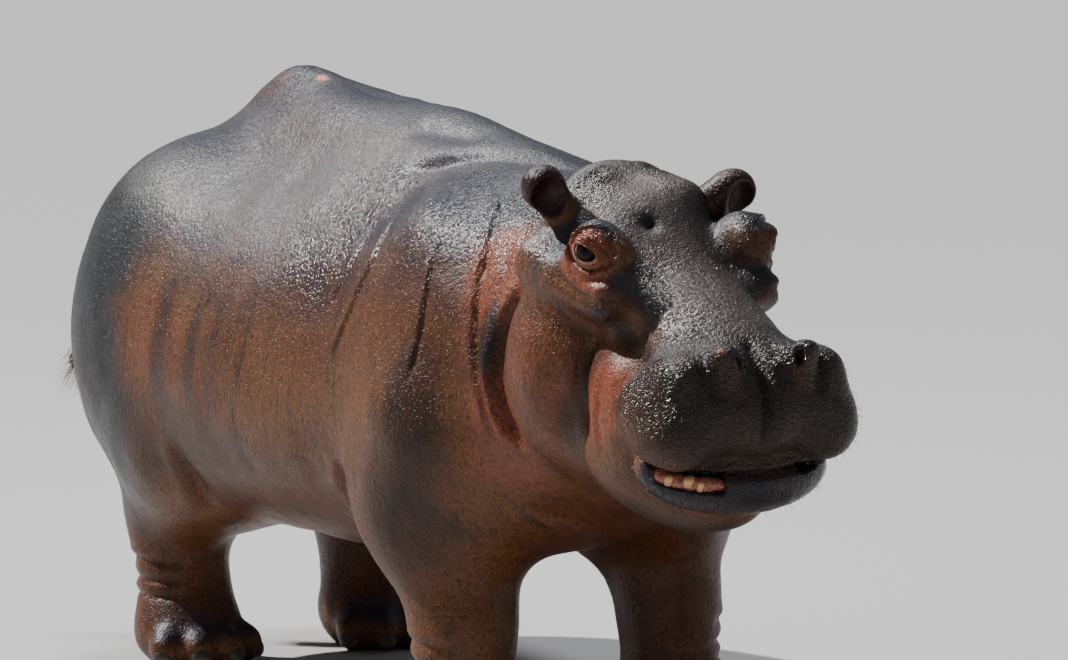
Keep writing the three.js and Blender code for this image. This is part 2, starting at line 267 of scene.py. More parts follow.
@dataclass(frozen=True)
class Ear:
    """Stout stalk hollowed to a cup that opens forward."""

    side: int
    root: Triple
    tip: Triple
    stalk_radii: tuple[float, float] = (0.034, 0.050)
    cup_step: Triple = (0.050, 0.004, -0.005)
    cup_radii: Triple = (0.045, 0.040, 0.052)
    rim: float = 0.012

    def stalk(self) -> Limb:
        """Round stalk that widens to the tip."""
        return Limb(self.root, self.tip, *self.stalk_radii, 0)

    def cup(self) -> Ball:
        """Hollow ahead of the tip."""
        (x, y, z), (ahead, aside, up) = self.tip, self.cup_step
        return Ball((x + ahead, y + aside * self.side, z + up), self.cup_radii, 0)

    def distance(self, q: Array) -> Array:
        """Stalk less cup, in head numbers."""
        return trim(self.stalk().distance(q), -self.cup().distance(q), self.rim)


FORE = Foot(1.28, 0.27)
HIND = Foot(-0.25, 0.26)
EARS = (
    Ear(-1, (-0.035, -0.150, -0.03), (-0.065, -0.215, 0.045)),
    Ear(1, (0.015, 0.155, -0.01), (0.028, 0.204, 0.060)),
)

TRUNK: list[Mass] = [
    Barrel(),
    Ball((-0.03, 0, 1.15), (0.34, 0.080, 0.350), 0.22),
    Ball((0.60, 0, 1.09), (0.68, 0.17, 0.345), 0.20),
    Ball((1.15, -0.02, 1.05), (0.42, 0.20, 0.255), 0.18),
    *both(Ball((-0.235, 0.230, 0.83), (0.415, 0.240, 0.45), 0.17)),
    *both(Ball((1.22, 0.26, 0.82), (0.33, 0.19, 0.42), 0.16)),
    Limb((1.22, 0, 0.92), (1.78, -0.13, 0.98), 0.37, 0.215, 0.14),
    Limb((1.30, -0.03, 1.08), (1.82, -0.15, 1.12), 0.19, 0.145, 0.12),
    Limb((1.38, -0.04, 0.78), (1.82, -0.14, 0.84), 0.30, 0.195, 0.14),
]
LEGS: list[Mass] = [
    *both(
        Limb((1.28, 0.27, 0.75), (1.19, 0.28, 0.56), 0.21, 0.18, 0.02),
        Limb((1.19, 0.28, 0.56), (1.27, 0.27, 0.30), 0.165, 0.115, 0.08),
        Limb((1.27, 0.27, 0.32), (1.28, 0.27, 0.10), 0.115, 0.12, 0.05),
        Limb((-0.22, 0.235, 0.74), (-0.03, 0.27, 0.56), 0.235, 0.185, 0.14),
        Limb((-0.06, 0.27, 0.58), (-0.28, 0.26, 0.36), 0.19, 0.125, 0.10),
        Limb((-0.28, 0.26, 0.36), (-0.25, 0.26, 0.12), 0.115, 0.12, 0.06),
    ),
    *FORE.masses(),
    *HIND.masses(),
]
TAIL: list[Mass] = [
    Limb((-0.64, 0, 1.00), (-0.79, -0.11, 0.87), 0.10, 0.05, 0.04),
    Limb((-0.79, -0.11, 0.87), (-0.87, -0.26, 0.70), 0.05, 0.03, 0.04),
]
HEAD: list[Mass] = [
    Ball((-0.045, 0, -0.045), (0.19, 0.155, 0.130), 0),
    Ball((0.06, 0, -0.20), (0.22, 0.19, 0.19), 0.10),
    *both(Limb((0.10, 0.05, -0.09), (0.56, 0.045, -0.125), 0.095, 0.095, 0.08)),
    Ball((0.40, 0, -0.20), (0.26, 0.17, 0.15), 0.08),
    Ball((0.59, 0, -0.145), (0.12, 0.17, 0.090), 0.05),
    *both(
        Ball((-0.02, 0.15, -0.06), (0.08, 0.05, 0.06), 0.04),
        Ball((0.155, 0.176, 0.006), (0.070, 0.060, 0.064), 0.045),
        Limb((0.255, 0.182, -0.072), (-0.02, 0.215, -0.115), 0.046, 0.058, 0.07),
        Ball((0.075, 0.165, -0.31), (0.165, 0.115, 0.210), 0.05, (0, -8, 0)),
        Ball((0.565, 0.125, -0.145), (0.125, 0.105, 0.098), 0.04),
        Ball((0.570, 0.172, -0.190), (0.135, 0.092, 0.092), 0.04),
        Ball((0.605, 0.085, -0.050), (0.056, 0.042, 0.052), 0.03),
        Ball((0.575, 0.168, -0.088), (0.060, 0.050, 0.050), 0.04),
        Ball((0.36, 0.125, -0.30), (0.17, 0.095, 0.17), 0.06),
    ),
    Ball((0.33, 0, -0.405), (0.31, 0.190, 0.140), 0.05, (0, -6, 0)),
    Ball((0.575, 0, -0.305), (0.135, 0.222, 0.092), 0.02),
    Ball((0.08, 0, -0.43), (0.21, 0.18, 0.185), 0.10),
]


@dataclass(frozen=True)
class Anatomy:
    """The whole form as one distance, and the frames that its parts are measured in."""

    seat: Triple = (1.92, -0.16, 1.28)
    yaw: float = -2.5
    pitch: float = 23
    eye: Triple = (0.173, 0.2104, 0.016)
    globe: float = 0.031
    gaze: Triple = (0.62, 0.74, 0.22)
    skull_from: float = 1.45
    tail_until: float = -0.35
    legs_until: float = 1.75
    legs_below: float = 1.15
    ear_blend: float = 0.015
    skull_blend: float = 0.03
    tail_blend: float = 0.04
    leg_blend: float = 0.10
    longest_step: float = 0.02
    least_slope: float = 0.05

    def axes(self) -> Array:
        """Axes of the head as columns."""
        return turn_matrix(self.yaw, self.pitch, 0)

    def to_head(self, p: Array) -> Array:
        """Body numbers to head numbers."""
        return (p - np.array(self.seat)) @ self.axes()

    def from_head(self, q: Array) -> Array:
        """Head numbers to body numbers."""
        return np.asarray(q, float) @ self.axes().T + np.array(self.seat)

    def eye_centre(self, side: int) -> Array:
        """Centre of one globe in head numbers."""
        x, y, z = self.eye
        return np.array([x, side * y, z])

    def outward(self, side: int) -> Array:
        """Direction that one eye faces, in head numbers."""
        x, y, z = self.gaze
        return unit(np.array([x, side * y, z]))

    def shift(self) -> Array:
        """Step from body numbers to the solids, read from the right eye's box."""
        low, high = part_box("eye_right")
        return (np.array(low) + np.array(high)) / 2 - self.from_head(self.eye_centre(-1))

    def distance(self, p: Array) -> Array:
        """Distance of body points to the hide; each group is worked out only near itself.

        Args:
            p: body points.

        Returns:
            The distance of each point, less than 0 inside.
        """
        d = united(TRUNK, p)
        near = p[:, 0] > self.skull_from
        q = self.to_head(p[near])
        skull = united(HEAD, q)
        for ear in EARS:
            skull = join(skull, ear.distance(q), self.ear_blend)
        d[near] = join(d[near], skull, self.skull_blend)
        near = p[:, 0] < self.tail_until
        d[near] = join(d[near], united(TAIL, p[near]), self.tail_blend)
        near = (p[:, 2] < self.legs_below) & (p[:, 0] < self.legs_until)
        legs = np.maximum(united(LEGS, p[near]), -p[near, 2])
        d[near] = join(d[near], legs, self.leg_blend)
        return d

    def slope(self, p: Array, step: float = 0.001) -> Array:
        """Gradient of the distance from four probes at the corners of a tetrahedron."""
        probes = np.array([[1, -1, -1], [-1, -1, 1], [-1, 1, -1], [1, 1, 1]], float)
        return sum(e * self.distance(p + step * e)[:, None] for e in probes) / (4 * step)

    def settle(self, p: Array, passes: int = 2) -> Array:
        """Points moved onto the surface along the slope.

        Args:
            p: body points near the surface.
            passes: how often each point is moved.

        Returns:
            The moved points.
        """
        for _ in range(passes):
            g = self.slope(p)
            move = self.distance(p) / np.maximum((g * g).sum(-1), self.least_slope)
            p = p - g * np.clip(move, -self.longest_step, self.longest_step)[:, None]
        return p


ANIMAL = Anatomy()


# ------------ the net that carries the hide
@dataclass(frozen=True)
class TaperedNet:
    """Grid of cells that shrink from the trunk to the head, and the surface drawn through it."""

    rear: float = -1.02
    front: float = 2.80
    wide: float = 0.020
    fine: float = 0.0099
    change: tuple[float, float] = (1.50, 1.80)
    across: int = 80
    high: int = 96
    block: int = 4
    samples: int = 4000
    bottom: float = -0.035
    lift: float = 0.60
    aside: float = -0.17

    def size(self, x: Array) -> Array:
        """Cell size at x."""
        return self.wide + (self.fine - self.wide) * smooth(x, *self.change)

    def layers(self) -> Array:
        """Places of the layers along x, each a cell's size from the last.

        Returns:
            The x of each layer.
        """
        x = np.linspace(self.rear, self.front, self.samples)
        count = np.concatenate([[0], np.cumsum(np.diff(x) / self.size(x[1:]))])
        return np.interp(np.arange(int(count[-1])), count, x)

    def place(self, ijk: Array) -> Array:
        """Grid numbers to body points; the fine end is lifted and lies to the right, where the head is.

        Args:
            ijk: rows of three grid numbers, whole or not.

        Returns:
            The body points.
        """
        xs = self.layers()
        x = np.interp(ijk[:, 0], np.arange(len(xs)), xs)
        s = self.size(x)
        turn = smooth(x, *self.change)
        y = self.aside * turn + s * (ijk[:, 1] - self.across / 2)
        z = self.bottom + self.lift * turn + s * ijk[:, 2]
        return np.stack([x, y, z], -1)

    def values(self) -> Array:
        """Distance at every grid point, exact near the surface and only its sign elsewhere.

        Returns:
            A value for each layer, row and column.
        """
        n = np.array([len(self.layers()), self.across, self.high]) // self.block
        middle = np.indices(n).reshape(3, -1).T * self.block + (self.block - 1) / 2
        points = self.place(middle)
        rough = ANIMAL.distance(points)
        near = np.abs(rough) < 2 * self.block * self.size(points[:, 0])
        step = np.indices((self.block,) * 3).reshape(3, -1).T
        corner = np.indices(n).reshape(3, -1).T * self.block
        value = np.where(rough < 0, -1.0, 1.0)[:, None].repeat(len(step), 1)
        ijk = corner[near][:, None, :] + step[None]
        value[near] = ANIMAL.distance(self.place(ijk.reshape(-1, 3).astype(float))).reshape(-1, len(step))
        full = value.reshape(*n, self.block, self.block, self.block).transpose(0, 3, 1, 4, 2, 5)
        return full.reshape(n * self.block)

    def surface(self) -> tuple[Array, Array]:
        """One point in each crossed cell, and a four-sided face round each crossed grid edge.

        Returns:
            Body points, and four point numbers for each face, turned to face outward.
        """
        value = self.values()
        inside = value < 0
        cells = np.array(value.shape) - 1
        total = np.zeros((*cells, 3))
        count = np.zeros(cells)
        for a in np.indices((2, 2, 2)).reshape(3, -1).T:
            for axis in range(3):
                if a[axis]:
                    continue
                b = a.copy()
                b[axis] = 1
                first, last = (value[tuple(slice(c, c + m) for c, m in zip(o, cells))] for o in (a, b))
                crossed = (first < 0) != (last < 0)
                where = a + np.zeros((*cells, 3))
                where[..., axis] = np.where(crossed, first / np.where(crossed, first - last, 1), 0)
                total += where * crossed[..., None]
                count += crossed
        active = count > 0
        number = np.full(cells, -1)
        number[active] = np.arange(active.sum())
        points = self.place(np.argwhere(active) + total[active] / count[active][:, None])
        faces = []
        for axis in range(3):
            u, v = (axis + 1) % 3, (axis + 2) % 3
            ends = [[slice(None)] * 3 for _ in range(2)]
            ends[0][axis] = slice(0, -1)
            ends[1][axis] = slice(1, None)
            edge = np.argwhere(inside[tuple(ends[0])] != inside[tuple(ends[1])])
            across = edge[:, (u, v)]
            edge = edge[((across > 0) & (across < cells[[u, v]])).all(1)]
            leaving = inside[tuple(ends[0])][tuple(edge.T)]
            ring = []
            for du, dv in ((1, 1), (0, 1), (0, 0), (1, 0)):
                cell = edge.copy()
                cell[:, u] -= du
                cell[:, v] -= dv
                ring.append(number[tuple(cell.T)])
            face = np.stack(ring, -1)
            face[~leaving] = face[~leaving][:, ::-1]
            faces.append(face)
        return ANIMAL.settle(points), np.concatenate(faces)


# ------------ meshes
def coordinates(mesh: bpy.types.Mesh) -> Array:
    """Every vertex of a mesh.

    Args:
        mesh: the mesh.

    Returns:
        Rows of x, y, z.
    """
    co = np.empty(len(mesh.vertices) * 3, np.float32)
    mesh.vertices.foreach_get("co", co)
    return co.reshape(-1, 3).astype(float)


def set_coordinates(mesh: bpy.types.Mesh, points: Array) -> None:
    """Moves every vertex of a mesh."""
    mesh.vertices.foreach_set("co", points.astype(np.float32).ravel())
    mesh.update()


def store(mesh: bpy.types.Mesh, name: str, values: Array) -> None:
    """Keeps one number for each vertex under a name that materials read."""
    layer = mesh.attributes.new(name, "FLOAT", "POINT")
    layer.data.foreach_set("value", values.astype(np.float32))


def new_mesh(name: str, points: Array, faces: Iterable) -> bpy.types.Object:
    """Object with a smooth-shaded mesh, linked to the scene.

    Args:
        name: name of the piece.
        points: rows of x, y, z in the solids' frame.
        faces: vertex numbers of each face.

    Returns:
        The new object, at the origin.
    """
    mesh = bpy.data.meshes.new(name)
    mesh.from_pydata(points.tolist(), [], faces.tolist() if isinstance(faces, np.ndarray) else faces)
    mesh.shade_smooth()
    mesh.update()
    piece = bpy.data.objects.new(name, mesh)
    bpy.context.scene.collection.objects.link(piece)
    return piece


def grid_faces(rows: int, columns: int, start: int = 0) -> Array:
    """Four-sided faces between rows of points whose columns close on themselves.

    Args:
        rows: how many rows.
        columns: how many points in each.
        start: number of the first point.

    Returns:
        Four point numbers for each face.
    """
    r, c = np.meshgrid(np.arange(rows - 1), np.arange(columns), indexing="ij")
    n = (c + 1) % columns
    ring = [r * columns + c, r * columns + n, (r + 1) * columns + n, (r + 1) * columns + c]
    return np.stack(ring, -1).reshape(-1, 4) + start


def finish_piece(piece: bpy.types.Object, material: bpy.types.Material, slot: str, *nodes: str) -> None:
    """Dresses a piece, seats it on the body and hides the solids it stands for.

    Args:
        piece: the piece.
        material: its finish.
        slot: not used.
        nodes: names of the solids, if it stands for any.
    """
    piece.data.materials.append(material)
    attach(piece, "root")
    if nodes:
        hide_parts(*nodes)
    corners = np.empty(len(piece.data.polygons), np.int32)
    piece.data.polygons.foreach_get("loop_total", corners)
    triangles = int((corners - 2).sum())
    log.info("%s: %d vertices, %d triangles", piece.name, len(piece.data.vertices), triangles)


PRIMES = (73856093, 19349663, 83492791)
SEED_PRIME = 40503
SCRAMBLES = ((13, 1274126177), (15, 668265263))
LARGEST = 0x7FFFFFFF


def lattice_noise(p: Array, cell: float, seed: int) -> Array:
    """Smooth random value from -1 to 1: lattice numbers blended by smooth steps along each axis.

    Args:
        p: points.
        cell: distance between lattice points.
        seed: number of the pattern.

    Returns:
        The value at each point.
    """
    q = p / cell
    base = np.floor(q).astype(np.int64)
    t = q - base
    t = t * t * (3 - 2 * t)
    total = np.zeros(len(p))
    for corner in np.indices((2, 2, 2)).reshape(3, -1).T:
        n = (base + corner) @ np.array(PRIMES) + seed * SEED_PRIME
        for shift, factor in SCRAMBLES:
            n = ((n ^ (n >> shift)) * factor) & LARGEST
        weight = np.prod(np.where(corner, t, 1 - t), axis=1)
        total += weight * (n / (LARGEST >> 1) - 1)
    return total


# ------------ folds, lids, nostrils and mouth
class Where(Enum):
    """Numbers that a mark or fold is given in."""

    BODY = 0
    HEAD = 1


ON_BODY, ON_HEAD = Where.BODY, Where.HEAD
HEAD_FROM = 1.75
SNOUT_FROM = 2.0
NECK_BEND = -0.15
NECK_ENDS = (1.25, 1.85)


def to_body(points: Sequence[Triple], where: Where) -> Array:
    """Points of a mark or fold in body numbers."""
    p = np.array(points, float)
    return ANIMAL.from_head(p) if where is Where.HEAD else p


def mirror(points: Array, where: Where) -> Array:
    """Points on the other side; the neck's middle bends to the right towards the head.

    Args:
        points: body points.
        where: the numbers in which the sides are each other's mirror.

    Returns:
        The mirrored body points.
    """
    if where is Where.HEAD:
        return ANIMAL.from_head(ANIMAL.to_head(points) * (1, -1, 1))
    middle = NECK_BEND * smooth(points[:, 0], *NECK_ENDS)
    return np.stack([points[:, 0], 2 * middle - points[:, 1], points[:, 2]], -1)


@dataclass(frozen=True)
class Fold:
    """Crease along a smooth line with a roll of hide beside it.

    A crease of the full depth, and no wider than the full width, has the darkest painted shade. The roll's
    place and width are shares of the crease's width, and the ends fade over a share of the line.
    """

    FULL_DEPTH: ClassVar[float] = 0.013
    FULL_WIDTH: ClassVar[float] = 0.020
    BODY_DARKNESS: ClassVar[float] = 0.50
    STEPS: ClassVar[int] = 9
    REACH: ClassVar[float] = 5
    ENDS: ClassVar[float] = 0.22
    PAST: ClassVar[float] = 3
    ROLL_PLACE: ClassVar[float] = 1.7
    ROLL_WIDTH: ClassVar[float] = 1.3
    SHARPNESS: ClassVar[float] = 1.8

    points: tuple[Triple, ...]
    width: float
    depth: float
    roll: float = 0.0
    where: Where = Where.HEAD
    mirrored: bool = True

    def darkness(self) -> float:
        """How dark the painted shade in the crease is: deep ones on the head are darkest, and broad
        hollows are left pale.
        """
        sharp = min(1.0, self.depth / self.FULL_DEPTH) * min(1.0, self.FULL_WIDTH / self.width) ** 2
        return sharp if self.where is Where.HEAD else self.BODY_DARKNESS * sharp

    def line(self, points: Array) -> Array:
        """The points joined by an even cubic through each of them and drawn to the surface.

        Args:
            points: body points.

        Returns:
            Points along the line.
        """
        n = len(points)
        t = np.linspace(0, n - 1, self.STEPS * (n - 1) + 1)
        i = np.minimum(t.astype(int), n - 2)
        f = (t - i)[:, None]
        p0, p1, p2, p3 = (points[np.clip(i + k, 0, n - 1)] for k in (-1, 0, 1, 2))
        curve = 0.5 * (2 * p1 + (p2 - p0) * f + (2 * p0 - 5 * p1 + 4 * p2 - p3) * f**2
                       + (3 * p1 - p0 - 3 * p2 + p3) * f**3)
        return ANIMAL.settle(curve, 3)

    def lines(self) -> list[Array]:
        """The line, and the one on the other side."""
        points = to_body(self.points, self.where)
        return [self.line(points)] + ([self.line(mirror(points, self.where))] if self.mirrored else [])

    def press(self, p: Array, normals: Array) -> tuple[Array, Array]:
        """Height to add along the normals, and how deep in the crease each point lies.

        The height is minus depth times a bell across the line, plus a wider bell beside it.

        Args:
            p: body points.
            normals: the hide's directions there.

        Returns:
            The heights, and the painted shade of the crease from 0 to 1.
        """
        height = np.zeros(len(p))
        crease = np.zeros(len(p))
        for index, curve in enumerate(self.lines()):
            reach = self.REACH * self.width
            low, high = curve.min(0) - reach, curve.max(0) + reach
            near = np.flatnonzero(((p > low) & (p < high)).all(1))
            if not len(near):
                continue
            gap = p[near][:, None, :] - curve[None]
            nearest = (gap**2).sum(-1).argmin(1)
            along = unit(np.gradient(curve, axis=0))[nearest]
            offset = gap[np.arange(len(near)), nearest]
            offset -= (offset * along).sum(-1, keepdims=True) * along
            distance = np.linalg.norm(offset, axis=1)
            side = np.sign((np.cross(along, normals[near]) * offset).sum(-1)) * (1 - 2 * index)
            t = nearest / (len(curve) - 1)
            fade = smooth(t, 0, self.ENDS) * (1 - smooth(t, 1 - self.ENDS, 1))
            past = np.linalg.norm(p[near] - curve[nearest], axis=1) - distance
            fade *= 1 - smooth(past, self.width, self.PAST * self.width)
            bell = bump_at(distance, 0, self.width)
            beside = bump_at(side * distance, self.ROLL_PLACE * self.width, self.ROLL_WIDTH * self.width)
            height[near] += fade * (self.roll * beside - self.depth * bell)
            # painted shade along the crease
            crease[near] = np.maximum(crease[near], fade * bell**self.SHARPNESS * self.darkness())
        return height, crease


def ring_fold(x: float, y: float, z: float, radius: float, width: float, depth: float) -> Fold:
    """Fold round the outer half of an ankle.

    Args:
        x: the ankle's middle.
        y: the ankle's middle, on the left.
        z: height of the fold.
        radius: the ankle's radius there.
        width: width of the crease.
        depth: depth of the crease.

    Returns:
        The fold, which also lies on the other side.
    """
    turn = np.radians(np.linspace(-75, 75, 6))
    points = tuple((x + radius * math.sin(a), y + radius * math.cos(a), z) for a in turn)
    return Fold(points, width, depth, 0.4 * depth, Where.BODY)


FOLDS = [
    # behind the cheek and down the neck
    Fold(((1.660, -0.321, 1.125), (1.635, -0.350, 1.01), (1.622, -0.368, 0.92), (1.644, -0.362, 0.83),
          (1.70, -0.335, 0.745)), 0.020, 0.032, 0.010, ON_BODY),
    Fold(((1.470, -0.300, 1.20), (1.515, -0.352, 1.068), (1.548, -0.377, 0.96), (1.583, -0.376, 0.852),
          (1.61, -0.350, 0.74)), 0.012, 0.008, 0.006, ON_BODY),
    Fold(((1.560, -0.285, 1.16), (1.590, -0.330, 1.06), (1.600, -0.355, 0.96)),
         0.010, 0.004, 0.003, ON_BODY),
    Fold(((1.330, -0.350, 1.18), (1.363, -0.400, 1.08), (1.370, -0.424, 0.97), (1.36, -0.43, 0.86)),
         0.009, 0.005, 0.004, ON_BODY),
    Fold(((1.355, -0.19, 1.29), (1.42, -0.245, 1.235), (1.478, -0.301, 1.165), (1.50, -0.33, 1.10)),
         0.010, 0.005, 0.004, ON_BODY),
    # over the shoulder
    Fold(((0.955, -0.23, 1.27), (1.06, -0.35, 1.17), (1.08, -0.400, 1.10), (1.03, -0.443, 0.98),
          (0.97, -0.46, 0.86)), 0.009, 0.005, 0.005, ON_BODY),
    Fold(((0.90, -0.34, 1.19), (0.92, -0.40, 1.10), (0.90, -0.44, 1.00)), 0.010, 0.004, 0.003, ON_BODY),
    # between the far back and the withers
    Fold(((0.70, -0.11, 1.40), (0.80, -0.09, 1.40), (0.90, -0.08, 1.39), (1.02, -0.06, 1.37)),
         0.036, 0.014, 0.004, ON_BODY, False),
    Fold(((0.82, -0.21, 1.31), (0.93, -0.17, 1.33), (1.03, -0.130, 1.345), (1.150, -0.085, 1.352),
          (1.26, -0.030, 1.345), (1.36, 0.02, 1.325)), 0.026, 0.016, -0.008, ON_BODY, False),
    # armpit, groin, throat and rump
    Fold(((1.02, -0.42, 0.66), (0.98, -0.40, 0.55), (1.02, -0.34, 0.45)), 0.022, 0.014, 0.008, ON_BODY),
    Fold(((0.18, -0.42, 0.66), (0.16, -0.40, 0.54), (0.10, -0.34, 0.46)), 0.024, 0.014, 0.008, ON_BODY),
    Fold(((1.52, -0.25, 0.66), (1.58, -0.14, 0.62), (1.56, 0.0, 0.63)),
         0.020, 0.014, 0.008, ON_BODY, False),
    Fold(((-0.59, -0.20, 1.10), (-0.66, -0.13, 1.00), (-0.67, -0.14, 0.86), (-0.62, -0.16, 0.72)),
         0.022, 0.016, 0.008, ON_BODY),
    # poll, below the eye, and the outer corner of the eye
    Fold(((-0.045, -0.175, 0.04), (-0.10, -0.12, 0.07), (-0.11, -0.05, 0.08)), 0.012, 0.008, 0.005),
    Fold(((-0.10, -0.16, -0.02), (-0.15, -0.10, 0.03), (-0.16, -0.03, 0.05)), 0.013, 0.009, 0.006),
    Fold(((0.085, -0.250, -0.052), (0.145, -0.247, -0.068), (0.205, -0.238, -0.068),
          (0.262, -0.220, -0.055), (0.300, -0.175, -0.030)), 0.009, 0.011, -0.007),
    Fold(((0.140, -0.243, -0.012), (0.180, -0.238, -0.028), (0.220, -0.222, -0.026),
          (0.250, -0.185, -0.008)), 0.007, 0.008, -0.004),
    # beside the jaw and behind the hanging lip
    Fold(((0.225, -0.19, -0.17), (0.231, -0.202, -0.236), (0.262, -0.208, -0.304), (0.31, -0.207, -0.39)),
         0.018, 0.012, 0.006),
    Fold(((0.31, -0.20, -0.19), (0.335, -0.212, -0.24), (0.360, -0.212, -0.30), (0.40, -0.205, -0.37)),
         0.012, 0.005, 0.004),
    Fold(((0.405, -0.150, -0.095), (0.420, -0.185, -0.150), (0.435, -0.215, -0.205),
          (0.475, -0.235, -0.262)), 0.015, 0.017, -0.008),
    # between and round the nostrils
    Fold(((0.52, -0.006, -0.028), (0.60, -0.006, -0.035), (0.675, -0.006, -0.075), (0.710, -0.008, -0.135),
          (0.700, -0.010, -0.200)), 0.016, 0.020, 0.0, ON_HEAD, False),
    Fold(((0.600, -0.055, 0.0), (0.578, -0.105, 0.008), (0.590, -0.145, -0.010)), 0.010, 0.010, -0.004),
    Fold(((0.60, -0.142, -0.035), (0.640, -0.136, -0.060), (0.668, -0.120, -0.095)), 0.010, 0.007, 0.002),
    *(ring_fold(foot.x - 0.02, foot.y, z, 0.12, 0.010, 0.007)
      for foot in (FORE, HIND) for z in (0.175, 0.215, 0.265)),
]


@dataclass(frozen=True)
class Swell:
    """Low mound, or hollow where its height is negative."""

    centre: Triple
    radius: float
    height: float
    where: Where = Where.HEAD
    mirrored: bool = True

    def press(self, p: Array, q: Array) -> Array:
        """Height at each point: a bell of the distance from the centre.

        Args:
            p: body points.
            q: the same points in head numbers.

        Returns:
            The heights.
        """
        points = q if self.where is Where.HEAD else p
        total = np.zeros(len(p))
        for side in (1, -1) if self.mirrored else (1,):
            gap = np.linalg.norm(points - np.array(self.centre) * (1, side, 1), axis=1)
            total += self.height * bump_at(gap, 0, self.radius)
        return total


SWELLS = [
    Swell((0.628, -0.104, -0.004), 0.027, 0.025),
    Swell((0.608, -0.170, -0.042), 0.034, 0.011),
    Swell((-0.060, -0.020, 0.085), 0.085, -0.028, ON_HEAD, False),
    Swell((0.010, 0.110, 0.045), 0.062, 0.032, ON_HEAD, False),
    Swell((0.658, -0.052, -0.040), 0.016, -0.006),
    Swell((0.330, -0.180, -0.115), 0.052, -0.024),
    Swell((0.262, -0.205, -0.052), 0.024, 0.008),
    Swell((0.215, -0.148, 0.034), 0.040, 0.014),
    Swell((0.238, -0.176, 0.010), 0.036, 0.017),
    Swell((0.232, -0.128, 0.020), 0.040, 0.020, ON_HEAD, False),
    Swell((0.115, -0.040, 0.045), 0.022, -0.014, ON_HEAD, False),
    Swell((0.500, -0.235, -0.190), 0.070, 0.010),
    Swell((0.120, -0.275, -0.310), 0.110, 0.010),
    Swell((0.265, -0.215, -0.340), 0.045, -0.012),
    Swell((0.240, -0.100, 0.020), 0.060, -0.006),
]


